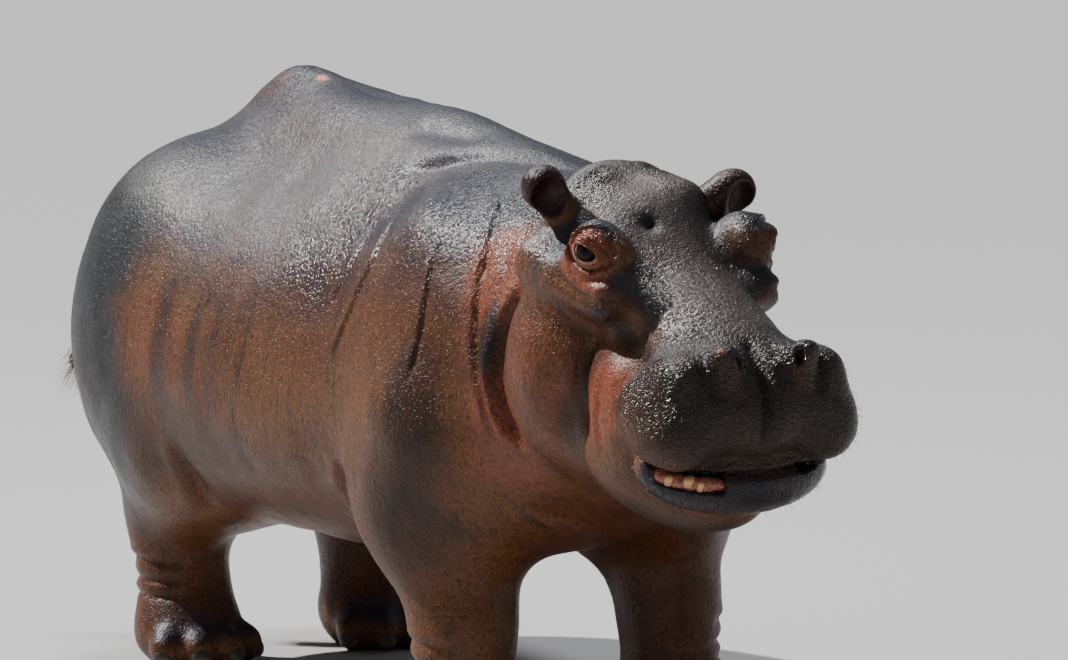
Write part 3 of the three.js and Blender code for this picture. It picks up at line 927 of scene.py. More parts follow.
@dataclass(frozen=True)
class Lids:
    """Lids round one eye, and the folds that echo them.

    Places of the pouch and of the echoing folds are given in ratios: 1 is the edge of the opening.
    """

    side: int
    tilt: Triple = (0.22, 0, 1)
    half_long: float = 0.0262
    half_high: float = 0.0175
    upper: float = 0.70
    lower: float = 1.10
    thick: float = 0.0045
    thicker_above: float = 0.0035
    sunk: float = 0.007
    shell_blend: float = 0.008
    slit_below: float = 0.001
    opening: tuple[float, float] = (0.93, 1.10)
    near: float = 0.085
    edge: tuple[float, float] = (0.055, 0.08)
    pouch: float = 1.95
    pouch_width: float = 0.16
    pouch_depth: float = 0.0065
    pouch_roll: float = 0.0030
    echoes: tuple[float, ...] = (1.50, 1.92, 2.40)
    echo_width: float = 0.11
    echo_depth: float = 0.0034
    echo_roll: float = 0.0020
    pale_rim: tuple[float, float] = (1.12, 0.14)
    red_zone: tuple[float, float] = (0.026, 0.070)
    left_redness_in_shade: float = 0.45

    def local(self, p: Array) -> Array:
        """Body points in the eye's own axes.

        Args:
            p: body points.

        Returns:
            Rows of the distance along the slit, across it and out of the eye.
        """
        out = ANIMAL.outward(self.side)
        tilted = np.array(self.tilt)
        up = unit(tilted - out * (tilted @ out))
        along = np.cross(up, out) * -self.side
        return (ANIMAL.to_head(p) - ANIMAL.eye_centre(self.side)) @ np.stack([along, up, out], -1)

    def ratio(self, local: Array) -> Array:
        """1 on the edge of the opening, an ellipse that is flatter above than below."""
        high = self.half_high * np.where(local[:, 1] > 0, self.upper, self.lower)
        return np.hypot(local[:, 0] / self.half_long, (local[:, 1] + self.slit_below) / high)

    def lift(self, u: Array, v: Array, out: Array, ratio: Array) -> Array:
        """Height out of the eye once the hide is lifted over the globe.

        Outside the opening it is the greater of the hide's own and of a shell one lid thicker than
        the globe; inside, it is the globe less a few millimetres.

        Args:
            u: distance along the slit.
            v: distance across the slit.
            out: height of the hide.
            ratio: ratio of each point.

        Returns:
            The new heights.
        """
        thick = self.thick + self.thicker_above * smooth(v, -0.004, 0.018)
        shell = np.sqrt(np.maximum((ANIMAL.globe + thick) ** 2 - u * u - v * v, 0))
        within = np.sqrt(np.maximum(ANIMAL.globe**2 - u * u - v * v, 0)) - self.sunk
        outside = trim(out, shell, self.shell_blend)
        return within + (outside - within) * smooth(ratio, *self.opening)

    def fold(self, height: Array, v: Array, ratio: Array) -> tuple[Array, Array]:
        """Presses the pouch below the eye and the echoing folds above it.

        Args:
            height: height out of the eye.
            v: distance across the slit.
            ratio: ratio of each point.

        Returns:
            The new heights, and the strength of the creases' painted shade.
        """
        above = smooth(v, -0.012, 0.008)
        crease = (1 - above) * bump_at(ratio, self.pouch, self.pouch_width)
        roll = self.pouch_roll * (1 - above) * bump_at(ratio, self.pouch + 0.45, 0.25)
        height = height - (self.pouch_depth * crease - roll)
        for echo in self.echoes:
            height = height - self.echo_depth * above * bump_at(ratio, echo, self.echo_width)
            height = height + self.echo_roll * above * bump_at(ratio, echo + 0.24, 0.15)
            crease = np.maximum(crease, 0.55 * above * bump_at(ratio, echo, 0.10))
        return height, crease

    def raise_from(self, p: Array) -> tuple[Array, Array, Array, Array]:
        """Hide lifted over the globe, sunk behind it in the opening, and pressed into folds.

        Args:
            p: body points of the hide.

        Returns:
            New body points, and the strengths of the pale rim, the red round the eye, weaker on the left
            as painted shade, and the painted shade of the creases.
        """
        local = self.local(p)
        near = (np.hypot(local[:, 0], local[:, 1]) < self.near) & (local[:, 2] > -0.02)
        u, v, out = local[near].T
        ratio = self.ratio(local[near])
        height, folds = self.fold(self.lift(u, v, out, ratio), v, ratio)
        raised = out + (height - out) * (1 - smooth(np.hypot(u, v), *self.edge))
        new = p.copy()
        new[near] = p[near] + (raised - out)[:, None] * (ANIMAL.axes() @ ANIMAL.outward(self.side))
        rim, orbit, crease = np.zeros((3, len(p)))
        rim[near] = bump_at(ratio, *self.pale_rim) * (1 - smooth(v, -0.006, 0.004))
        # the left eye, on the far side, gets less red as painted shade
        redness = 1.0 if self.side < 0 else self.left_redness_in_shade
        orbit[near] = (1 - smooth(np.hypot(u, v * 0.9), *self.red_zone)) * redness
        # painted shade in the lid folds and along the edge of the opening
        crease[near] = np.maximum(folds, 0.8 * bump_at(ratio, 0.98, 0.07))
        return new, rim, orbit, crease


@dataclass(frozen=True)
class Nostril:
    """Slanting slit on top of each pad of the muzzle, with a low rim.

    Pit, lip and dark are ratios: 1 is the edge of the slit. Dark is where painted shade fills the slit.
    """

    centre: Triple = (0.640, 0.074, -0.010)
    half_long: float = 0.017
    half_high: float = 0.0080
    slant: Triple = (0.80, -0.25, -0.45)
    outward: Triple = (0.45, 0, 0.85)
    depth: float = 0.020
    rim: float = 0.0035
    reach: float = 0.05
    pit: tuple[float, float] = (0.35, 1.15)
    lip: tuple[float, float] = (1.55, 0.45)
    dark: tuple[float, float] = (0.6, 1.3)

    def press(self, q: Array) -> tuple[Array, Array]:
        """Height and painted shade of head points: a pit inside the slit and a bell round it.

        Args:
            q: head points.

        Returns:
            The heights, and the painted shade from 0 to 1.
        """
        height = np.zeros(len(q))
        dark = np.zeros(len(q))
        for _, side in SIDES:
            offset = q - np.array(self.centre) * (1, side, 1)
            along = unit(np.array(self.slant) * (1, side, 1))
            across = unit(np.cross(self.outward, along))
            ratio = np.hypot(offset @ along / self.half_long, offset @ across / self.half_high)
            near = np.linalg.norm(offset, axis=1) < self.reach
            pit = self.depth * (1 - smooth(ratio, *self.pit))
            height += near * (self.rim * bump_at(ratio, *self.lip) - pit)
            # painted shade inside the slit
            dark += near * (1 - smooth(ratio, *self.dark))
        return height, dark


@dataclass(frozen=True)
class Mouth:
    """Line between the lips, opened at each side of the front where gum and teeth lie."""

    corner: float = 0.47
    line: float = -0.261
    floor: float = -0.304
    window: tuple[float, float] = (0.070, 0.208)
    left_floor: float = -0.277
    left_window: tuple[float, float] = (0.105, 0.165)
    front: tuple[float, float] = (0.565, 0.59)
    recess: float = 0.044
    slot: float = 0.016
    slot_width: float = 0.006
    sag: float = 0.012
    sag_sides: tuple[float, float] = (0.15, 0.22)
    middle: float = 0.42
    lip_front: tuple[float, float] = (0.48, 0.60)
    lip_height: tuple[float, float] = (-0.40, -0.33)

    def opened(self, q: Array) -> Array:
        """How far the lips are open: 1 in front of the gums and 0 elsewhere.

        Args:
            q: head points.

        Returns:
            The share at each point.
        """
        y = np.abs(q[:, 1])
        left = q[:, 1] > 0
        low, high = (np.where(left, *sides) for sides in zip(self.left_window, self.window))
        between = smooth(y, low, low + 0.018) * (1 - smooth(y, high - 0.012, high))
        return between * smooth(q[:, 0], *self.front)

    def press(self, q: Array) -> tuple[Array, Array, Array]:
        """Inward steps along the mouth: a narrow slot, or a tall recess before the gums.

        Args:
            q: head points.

        Returns:
            Steps in head numbers, the painted shade of the slot and of the recess before the gums, and the
            wet lower lip's strength.
        """
        y = np.abs(q[:, 1])
        line = self.line - self.sag * smooth(y, *self.sag_sides)
        opened = self.opened(q)
        floor = np.where(q[:, 1] > 0, self.left_floor, self.floor)
        tall = smooth(q[:, 2], floor, floor + 0.008) * (1 - smooth(q[:, 2], line - 0.004, line + 0.005))
        slot = bump_at(q[:, 2], line, self.slot_width) * smooth(q[:, 0], self.corner, self.corner + 0.05)
        depth = opened * tall * self.recess + (1 - opened) * slot * self.slot
        inward = unit(np.stack([-(q[:, 0] - self.middle), -q[:, 1], np.zeros(len(q))], -1))
        lip = (smooth(q[:, 0], *self.lip_front) * smooth(q[:, 2], *self.lip_height)
               * (1 - smooth(q[:, 2], line - 0.012, line)))
        # painted shade in the slot, and in the recess where the lips stand open
        return inward * depth[:, None], np.maximum(slot * (1 - opened), opened * tall), lip


# ------------ markings of the hide
@dataclass(frozen=True)
class Mark:
    """Soft patch of a colour: full at its centre and gone at its edge."""

    tint: str
    centre: Triple
    radii: Triple
    strength: float = 1.0
    where: Where = Where.BODY
    mirrored: bool = False
    full_until: float = 0.35

    def cover(self, p: Array, q: Array) -> Array:
        """Strength at each point: one less a smooth step of the ellipsoid's scaled distance.

        Args:
            p: body points.
            q: the same points in head numbers.

        Returns:
            The strengths.
        """
        points = q if self.where is Where.HEAD else p
        cover = np.zeros(len(p))
        for side in (1, -1) if self.mirrored else (1,):
            offset = (points - np.array(self.centre) * (1, side, 1)) / np.array(self.radii)
            cover = np.maximum(cover, 1 - smooth(np.linalg.norm(offset, axis=1), self.full_until, 1))
        return self.strength * cover


MARKS = [
    # orange-red of thin, often folded hide
    Mark("warm", (1.55, -0.30, 1.12), (0.18, 0.16, 0.25), 0.70),
    Mark("warm", (1.62, -0.35, 0.76), (0.22, 0.20, 0.24), 0.60),
    Mark("warm", (1.56, 0.20, 0.98), (0.22, 0.20, 0.36), 0.38),
    Mark("warm", (0.17, -0.25, 0.00), (0.13, 0.11, 0.10), 0.75, ON_HEAD),
    # orange hide of the pouch below the right eye, kept to its upper band as painted light
    Mark("warm", (0.20, -0.228, -0.034), (0.11, 0.08, 0.045), 0.9, ON_HEAD),
    # painted shade on the lower band of the pouch below the right eye
    Mark("dark", (0.275, -0.20, -0.085), (0.10, 0.08, 0.045), 0.6, ON_HEAD),
    # orange round the left eye, weaker than on the right as painted shade of the far side
    Mark("warm", (0.17, 0.25, 0.00), (0.13, 0.11, 0.10), 0.35, ON_HEAD),
    # painted shade on the far side of the head, round the left eye
    Mark("dark", (0.25, 0.20, -0.05), (0.10, 0.10, 0.09), 0.6, ON_HEAD),
    Mark("warm", (0.36, -0.21, -0.24), (0.12, 0.09, 0.18), 0.75, ON_HEAD, True),
    Mark("warm", (0.12, -0.26, -0.30), (0.18, 0.14, 0.20), 0.42, ON_HEAD, True),
    Mark("warm", (0.10, -0.24, -0.45), (0.20, 0.14, 0.16), 0.40, ON_HEAD, True),
    Mark("warm", (-0.03, -0.22, -0.10), (0.12, 0.10, 0.10), 0.40, ON_HEAD, True),
    Mark("warm", (0.12, -0.50, 0.84), (0.26, 0.16, 0.22), 0.36, ON_BODY, True),
    # pink of worn or tender hide
    Mark("pink", (0.630, -0.108, 0.008), (0.026, 0.022, 0.026), 0.75, ON_HEAD),
    Mark("pink", (1.56, -0.25, 1.20), (0.12, 0.12, 0.10), 0.22, ON_BODY, True),
    Mark("pink", (0.20, -0.25, 0.02), (0.07, 0.06, 0.06), 0.35, ON_HEAD, True),
    Mark("pink", (0.107, -0.03, 1.48), (0.042, 0.024, 0.03), 1.0),
    Mark("pink", (0.56, -0.235, -0.300), (0.06, 0.05, 0.035), 0.7, ON_HEAD, True),
    # near black patches of the hide; the ones noted below are painted shade
    Mark("dark", (0.16, -0.50, 0.82), (0.07, 0.12, 0.36), 0.62),
    Mark("dark", (0.33, -0.50, 0.84), (0.05, 0.12, 0.28), 0.55),
    Mark("dark", (0.44, -0.50, 0.80), (0.06, 0.12, 0.28), 0.40),
    Mark("dark", (0.20, -0.50, 0.62), (0.60, 0.20, 0.20), 0.45),
    Mark("dark", (0.12, 0.50, 0.80), (0.09, 0.14, 0.32), 0.50),
    Mark("dark", (-0.31, -0.39, 1.18), (0.12, 0.14, 0.07), 0.8),
    Mark("dark", (0.37, -0.47, 0.98), (0.022, 0.05, 0.026), 0.8),
    Mark("dark", (1.37, -0.42, 0.78), (0.17, 0.18, 0.28), 0.62),
    Mark("dark", (1.38, 0.42, 0.86), (0.16, 0.16, 0.26), 0.45),
    # painted shade where the cheek overhangs the neck
    Mark("dark", (1.58, -0.36, 1.00), (0.06, 0.10, 0.13), 0.75),
    Mark("dark", (1.30, -0.42, 0.58), (0.22, 0.20, 0.26), 0.55, ON_BODY, True),
    # painted shadow cast by the pouch below the eye into the hollow under it
    Mark("dark", (0.315, -0.20, -0.11), (0.08, 0.07, 0.06), 0.75, ON_HEAD, True),
    # painted shade in the dimple of the forehead
    Mark("dark", (0.115, -0.04, 0.045), (0.040, 0.028, 0.03), 0.85, ON_HEAD),
    # painted shade between the jowl and the hanging lip
    Mark("dark", (0.245, -0.22, -0.38), (0.06, 0.07, 0.17), 0.55, ON_HEAD, True),
    Mark("dark", (0.48, 0.0, -0.47), (0.34, 0.32, 0.15), 0.65, ON_HEAD),
    Mark("dark", (-0.12, -0.05, 0.07), (0.10, 0.09, 0.06), 0.55, ON_HEAD, True),
    # dark blue-grey of the wet rump, its blue a painted sky reflection
    Mark("shade", (-0.50, -0.36, 0.95), (0.52, 0.52, 0.72), 1.0),
    Mark("shade", (-0.24, -0.42, 1.10), (0.36, 0.34, 0.40), 1.0),
    Mark("shade", (-0.24, -0.44, 0.70), (0.34, 0.40, 0.48), 1.0),
    Mark("dark", (-0.24, -0.46, 0.66), (0.24, 0.22, 0.36), 0.70),
    Mark("shade", (-0.60, 0.36, 1.00), (1.05, 0.62, 0.95), 0.80),
    Mark("shade", (-0.68, 0.0, 0.92), (0.42, 0.40, 0.62), 0.85),
    Mark("dark", (-0.25, 0.0, 0.34), (0.32, 0.50, 0.36), 0.40),
    Mark("dark", (1.26, 0.0, 0.26), (0.26, 0.50, 0.30), 0.35),
    # brown-grey of the muzzle, the bridge and the poll
    Mark("muzzle", (0.60, -0.13, -0.14), (0.26, 0.20, 0.22), 1.0, ON_HEAD, True),
    Mark("muzzle", (0.60, 0.0, -0.14), (0.24, 0.20, 0.22), 1.0, ON_HEAD),
    Mark("bridge", (0.30, 0.0, 0.0), (0.46, 0.24, 0.17), 0.85, ON_HEAD),
    Mark("bridge", (-0.05, 0.0, 0.10), (0.24, 0.24, 0.18), 0.9, ON_HEAD),
    Mark("bridge", (0.03, -0.22, -0.09), (0.10, 0.09, 0.06), 0.7, ON_HEAD, True),
    Mark("ear", (-0.065, -0.215, 0.045), (0.09, 0.09, 0.11), 1.3, ON_HEAD),
    Mark("ear", (0.028, 0.204, 0.060), (0.09, 0.09, 0.11), 1.3, ON_HEAD),
    # where water makes the hide shine
    Mark("wet", (0.86, -0.34, 1.18), (0.36, 0.26, 0.32), 1.0, ON_BODY, True),
    Mark("wet", (1.16, -0.28, 1.24), (0.36, 0.26, 0.24), 0.95, ON_BODY, True),
    Mark("wet", (1.50, -0.24, 1.24), (0.24, 0.22, 0.16), 0.9, ON_BODY, True),
    Mark("wet", (0.10, -0.05, 1.42), (0.60, 0.40, 0.28), 0.30),
    Mark("wet", (0.36, -0.07, -0.01), (0.24, 0.13, 0.10), 1.0, ON_HEAD, True),
    Mark("wet", (-0.06, -0.10, 0.07), (0.12, 0.10, 0.10), 0.8, ON_HEAD, True),
    Mark("wet", (0.17, -0.19, 0.06), (0.07, 0.07, 0.05), 0.9, ON_HEAD, True),
    Mark("wet", (0.60, -0.11, 0.0), (0.14, 0.15, 0.09), 1.0, ON_HEAD, True),
    Mark("wet", (0.55, -0.22, -0.12), (0.14, 0.10, 0.13), 0.9, ON_HEAD, True),
    Mark("wet", (0.02, -0.23, -0.08), (0.06, 0.06, 0.04), 0.8, ON_HEAD, True),
    Mark("wet", (0.56, -0.235, -0.300), (0.07, 0.06, 0.04), 0.9, ON_HEAD, True),
]
TINTS = ("warm", "pink", "dark", "shade", "bridge", "muzzle", "ear", "wet")


@dataclass
class Hide:
    """The one skin of the whole animal.

    The zones are how far from its details the net is refined, in three rounds; the inner zones are
    refined in the round after the outer ones. Each noise has a height and a cell, and is calmer on
    the head. All relief is calmer near the eyes.
    """

    net: TaperedNet
    fold_zone: float = 0.036
    foot_zone: float = 0.115
    eye_zone: float = 0.072
    ear_zone: float = 0.068
    lip_zone: float = 0.022
    nostril_zone: float = 0.045
    inner_fold_zone: float = 0.020
    inner_eye_zone: float = 0.047
    inner_nostril_zone: float = 0.028
    trunk_until: float = 1.45
    flank_above: float = 0.7
    eye_ahead: float = 0.02
    nostril: Triple = (0.636, 0.080, -0.010)
    lip_from: float = 0.45
    lip_line: float = -0.270
    gum_from: float = 0.56
    gum_line: float = -0.283
    gum_zone: float = 0.032
    gum_sides: tuple[float, float] = (0.075, 0.24)
    broad_noise: tuple[float, float] = (0.0050, 0.21)
    middle_noise: tuple[float, float] = (0.0022, 0.085)
    fine_noise: tuple[float, float] = (0.0009, 0.024)
    calm_head: float = 0.45
    calm_eyes: float = 0.35
    calm_zone: float = 0.060
    floor_fade: tuple[float, float] = (0.004, 0.05)
    sole: float = 0.002

    def first_round(self, p: Array, q: Array) -> Array:
        """Points, in body and head numbers, near folds and on the soles."""
        return self.creased(p, self.fold_zone) | (p[:, 2] < self.foot_zone)

    def second_round(self, p: Array, q: Array) -> Array:
        """Points near eyes, ears, lips and nostrils, and those nearest the folds of the trunk.

        Args:
            p: body points.
            q: the same points in head numbers.

        Returns:
            True for each such point.
        """
        face = self.round_eyes(q, self.eye_zone) | self.ears(q) | self.lips(q)
        face |= self.nostrils(q, self.nostril_zone)
        flank = (p[:, 0] < self.trunk_until) & (p[:, 2] > self.flank_above)
        return face | (flank & self.creased(p, self.inner_fold_zone))

    def third_round(self, p: Array, q: Array) -> Array:
        """Points, in body and head numbers, on lids and nostrils and before the gums."""
        inner = self.round_eyes(q, self.inner_eye_zone) | self.gums(q)
        return inner | self.nostrils(q, self.inner_nostril_zone)

    def creased(self, p: Array, reach: float) -> Array:
        """Body points near a fold.

        Args:
            p: body points.
            reach: distance that counts as near.

        Returns:
            True for each near point.
        """
        lines = [line for fold in FOLDS for line in fold.lines() if line[:, 0].min() < HEAD_FROM]
        near = np.zeros(len(p), bool)
        for knot in np.concatenate(lines):
            near |= ((p - knot) ** 2).sum(-1) < reach**2
        return near

    def round_eyes(self, q: Array, reach: float) -> Array:
        """Head points near either eye's middle.

        Args:
            q: head points.
            reach: distance that counts as near.

        Returns:
            True for each near point.
        """
        near = np.zeros(len(q), bool)
        for _, side in SIDES:
            centre = ANIMAL.eye_centre(side) + self.eye_ahead * ANIMAL.outward(side)
            near |= np.linalg.norm(q - centre, axis=1) < reach
        return near

    def ears(self, q: Array) -> Array:
        """Head points on the cups of the ears."""
        reaches = [np.linalg.norm(q - np.array(ear.tip), axis=1) for ear in EARS]
        return np.minimum(*reaches) < self.ear_zone

    def nostrils(self, q: Array, reach: float) -> Array:
        """Head points near either nostril."""
        folded = np.stack([q[:, 0], np.abs(q[:, 1]), q[:, 2]], -1)
        return np.linalg.norm(folded - np.array(self.nostril), axis=1) < reach

    def lips(self, q: Array) -> Array:
        """Head points along the mouth."""
        return (q[:, 0] > self.lip_from) & (np.abs(q[:, 2] - self.lip_line) < self.lip_zone)

    def gums(self, q: Array) -> Array:
        """Head points before the gums.

        Args:
            q: head points.

        Returns:
            True for each such point.
        """
        y = np.abs(q[:, 1])
        beside = (y > self.gum_sides[0]) & (y < self.gum_sides[1])
        return beside & (q[:, 0] > self.gum_from) & (np.abs(q[:, 2] - self.gum_line) < self.gum_zone)

    def halve(self, mesh: bpy.types.Mesh, chosen: Array) -> None:
        """Halves every edge between chosen vertices and settles the new ones on the surface.

        Args:
            mesh: the hide's mesh.
            chosen: True for each chosen vertex.
        """
        work = bmesh.new()
        work.from_mesh(mesh)
        work.verts.ensure_lookup_table()
        edges = [e for e in work.edges if chosen[e.verts[0].index] and chosen[e.verts[1].index]]
        bmesh.ops.subdivide_edges(work, edges=edges, cuts=1, use_grid_fill=True)
        work.to_mesh(mesh)
        work.free()
        points = coordinates(mesh)
        fresh = np.arange(len(points)) >= len(chosen)
        points[fresh] = ANIMAL.settle(points[fresh])
        set_coordinates(mesh, points)

    def build(self) -> bpy.types.Object:
        """Draws the net, refines it where the hide is finest and presses the details into it.

        Returns:
            The hide, in the solids' frame.
        """
        points, faces = self.net.surface()
        log.info("net: %d points", len(points))
        piece = new_mesh("hide", points, faces)
        mesh = piece.data
        for zone in (self.first_round, self.second_round, self.third_round):
            p = coordinates(mesh)
            self.halve(mesh, zone(p, ANIMAL.to_head(p)))
        self.detail(mesh)
        work = bmesh.new()
        work.from_mesh(mesh)
        bmesh.ops.triangulate(work, faces=[f for f in work.faces if len(f.verts) > 4])
        work.to_mesh(mesh)
        work.free()
        set_coordinates(mesh, coordinates(mesh) + ANIMAL.shift())
        mesh.shade_smooth()
        return piece

    def unevenness(self, p: Array) -> Array:
        """Broad, middle and fine noise, gentler on the head and gone at the ground.

        Args:
            p: body points.

        Returns:
            The height at each point.
        """
        calm = np.where(p[:, 0] > HEAD_FROM, self.calm_head, 1.0)
        floor = smooth(p[:, 2], *self.floor_fade)
        (broad, broad_cell), (middle, middle_cell) = self.broad_noise, self.middle_noise
        height = broad * lattice_noise(p, broad_cell, 1) + middle * lattice_noise(p, middle_cell, 2)
        height *= calm * floor
        fine, fine_cell = self.fine_noise
        height += fine * lattice_noise(p, fine_cell, 3) * floor
        return height

    def relief(self, p: Array, q: Array, normals: Array) -> tuple[Array, Array, Array]:
        """Unevenness, folds, swellings and nostrils, weaker near the eyes; the soles stay flat.

        Args:
            p: body points.
            q: the same points in head numbers.
            normals: the hide's directions there.

        Returns:
            The heights, and the painted shade of the creases and of the nostrils.
        """
        height = self.unevenness(p)
        crease = np.zeros(len(p))
        for fold in FOLDS:
            pressed, depth = fold.press(p, normals)
            height = height + pressed
            crease = np.maximum(crease, depth)
        for swell in SWELLS:
            height = height + swell.press(p, q)
        pit, nostril = Nostril().press(q)
        height = height * np.where(self.round_eyes(q, self.calm_zone), self.calm_eyes, 1.0) + pit
        height[p[:, 2] < self.sole] = 0
        return height, crease, nostril

    def detail(self, mesh: bpy.types.Mesh) -> None:
        """Presses folds, lids, nostrils and mouth into the mesh, and stores the markings and the painted
        shade of creases, nostrils and mouth.

        Args:
            mesh: the hide's mesh.
        """
        p = coordinates(mesh)
        q = ANIMAL.to_head(p)
        normals = unit(ANIMAL.slope(p))
        height, crease, nostril = self.relief(p, q, normals)
        step, mouth, lip = Mouth().press(q)
        snout = p[:, 0] > SNOUT_FROM
        moved = p + normals * height[:, None] + (step @ ANIMAL.axes().T) * snout[:, None]
        rim, orbit = np.zeros((2, len(p)))
        for _, side in SIDES:
            moved, side_rim, side_orbit, side_crease = Lids(side).raise_from(moved)
            crease = np.maximum(crease, side_crease)
            rim = np.maximum(rim, side_rim)
            orbit = np.maximum(orbit, side_orbit)
        set_coordinates(mesh, moved)
        for tint in TINTS:
            covers = [mark.cover(p, q) for mark in MARKS if mark.tint == tint]
            store(mesh, tint, np.clip(np.max(covers, axis=0), 0, 1))
        # painted shade of creases, lids, nostrils and the mouth
        store(mesh, "crease", np.maximum(crease, np.maximum(nostril, mouth) * snout))
        store(mesh, "lip", lip * snout)
        store(mesh, "rim", rim)
        store(mesh, "orbit", orbit)
        store(mesh, "up", normals[:, 2])


# ------------ nodes of the finishes
Colour = tuple[float, float, float]


class Signal:
    """One socket of a material; sums and products of it add Math nodes."""

    def __init__(self, paint: "Paint", socket: bpy.types.NodeSocket) -> None:
        """Keeps the socket and the material that it belongs to."""
        self.paint = paint
        self.socket = socket

    def math(self, operation: str, *values: Union["Signal", float]) -> "Signal":
        """A Math node on the values, in order."""
        node = self.paint.node("ShaderNodeMath", {"operation": operation}, dict(enumerate(values)))
        return Signal(self.paint, node.outputs[0])

    def __add__(self, other: Union["Signal", float]) -> "Signal":
        """Sum."""
        return self.math("ADD", self, other)

    def __sub__(self, other: Union["Signal", float]) -> "Signal":
        """Difference."""
        return self.math("SUBTRACT", self, other)

    def __rsub__(self, other: float) -> "Signal":
        """Difference from a number."""
        return self.math("SUBTRACT", other, self)

    def __mul__(self, other: Union["Signal", float]) -> "Signal":
        """Product."""
        return self.math("MULTIPLY", self, other)

    __radd__ = __add__
    __rmul__ = __mul__

    def rise(self, low: float, high: float) -> "Signal":
        """0 below low, 1 above high and a smooth step between.

        Args:
            low: where it starts to rise.
            high: where it has risen.

        Returns:
            The step.
        """
        sockets = {0: self, 1: low, 2: high}
        node = self.paint.node("ShaderNodeMapRange", {"interpolation_type": "SMOOTHSTEP"}, sockets)
        return Signal(self.paint, node.outputs[0])


class Paint:
    """Node tree of one material and the kinds of node that the finishes share."""

    def __init__(self, name: str) -> None:
        """Starts a material with its surface shader and its object coordinates.

        Args:
            name: name of the material.
        """
        self.material = bpy.data.materials.new(name)
        self.material.use_nodes = True
        self.tree = self.material.node_tree
        self.shader = self.tree.nodes["Principled BSDF"]
        self.place = self.node("ShaderNodeTexCoord", {}, {}).outputs["Object"]

    def node(self, kind: str, settings: dict, sockets: dict) -> bpy.types.Node:
        """Adds any node.

        Args:
            kind: type of the node.
            settings: properties, such as an operation, which are set first.
            sockets: numbers, colours or links, by the input's name or number.

        Returns:
            The node.
        """
        node = self.tree.nodes.new(kind)
        for key, value in settings.items():
            setattr(node, key, value)
        for key, value in sockets.items():
            self.feed(node.inputs[key], value)
        return node

    def feed(self, socket: bpy.types.NodeSocket, value: object) -> None:
        """Links a signal or socket, or sets a number or a colour.

        Args:
            socket: the input.
            value: what goes into it.
        """
        if isinstance(value, Signal):
            value = value.socket
        if isinstance(value, bpy.types.NodeSocket):
            self.tree.links.new(value, socket)
        elif isinstance(value, tuple) and socket.type == "RGBA":
            socket.default_value = (*value, 1.0)
        else:
            socket.default_value = value

    def attribute(self, name: str) -> Signal:
        """Number kept at each vertex."""
        return Signal(self, self.node("ShaderNodeAttribute", {"attribute_name": name}, {}).outputs["Fac"])

    def stretched(self, scale: Triple, turn: Triple = (0, 0, 0)) -> bpy.types.NodeSocket:
        """Object coordinates, turned and scaled along each axis."""
        sockets = {"Vector": self.place, "Rotation": turn, "Scale": scale}
        return self.node("ShaderNodeMapping", {}, sockets).outputs[0]

    def noise(self, scale: float, detail: float, place: Optional[bpy.types.NodeSocket] = None) -> Signal:
        """Cloudy value about a half, with features a metre over scale across."""
        sockets = {"Vector": place or self.place, "Scale": scale, "Detail": detail, "Roughness": 0.58}
        return Signal(self, self.node("ShaderNodeTexNoise", {}, sockets).outputs["Fac"])

    def cracks(self, scale: float, place: Optional[bpy.types.NodeSocket] = None) -> Signal:
        """Distance to the nearest edge between cells that are a metre over scale across.

        Args:
            scale: cells to a metre.
            place: coordinates, if not the object's own.

        Returns:
            The distance, in cells.
        """
        sockets = {"Vector": place or self.place, "Scale": scale}
        node = self.node("ShaderNodeTexVoronoi", {"feature": "DISTANCE_TO_EDGE"}, sockets)
        return Signal(self, node.outputs["Distance"])

    def mix(self, factor: Union[Signal, float], first: object, second: object) -> bpy.types.NodeSocket:
        """Colour between two colours."""
        settings = {"data_type": "RGBA", "clamp_factor": True}
        return self.node("ShaderNodeMix", settings, {0: factor, 6: first, 7: second}).outputs[2]

    def bump(self, height_mm: Signal, strength: float) -> None:
        """Relief of a height in millimetres."""
        sockets = {"Height": height_mm, "Strength": strength, "Distance": 0.001}
        self.feed(self.shader.inputs["Normal"], self.node("ShaderNodeBump", {}, sockets).outputs[0])

    def finish(self, sockets: dict) -> bpy.types.Material:
        """Feeds the surface shader.

        Args:
            sockets: numbers, colours or links, by the input's name.

        Returns:
            The material.
        """
        for key, value in sockets.items():
            self.feed(self.shader.inputs[key], value)
        return self.material


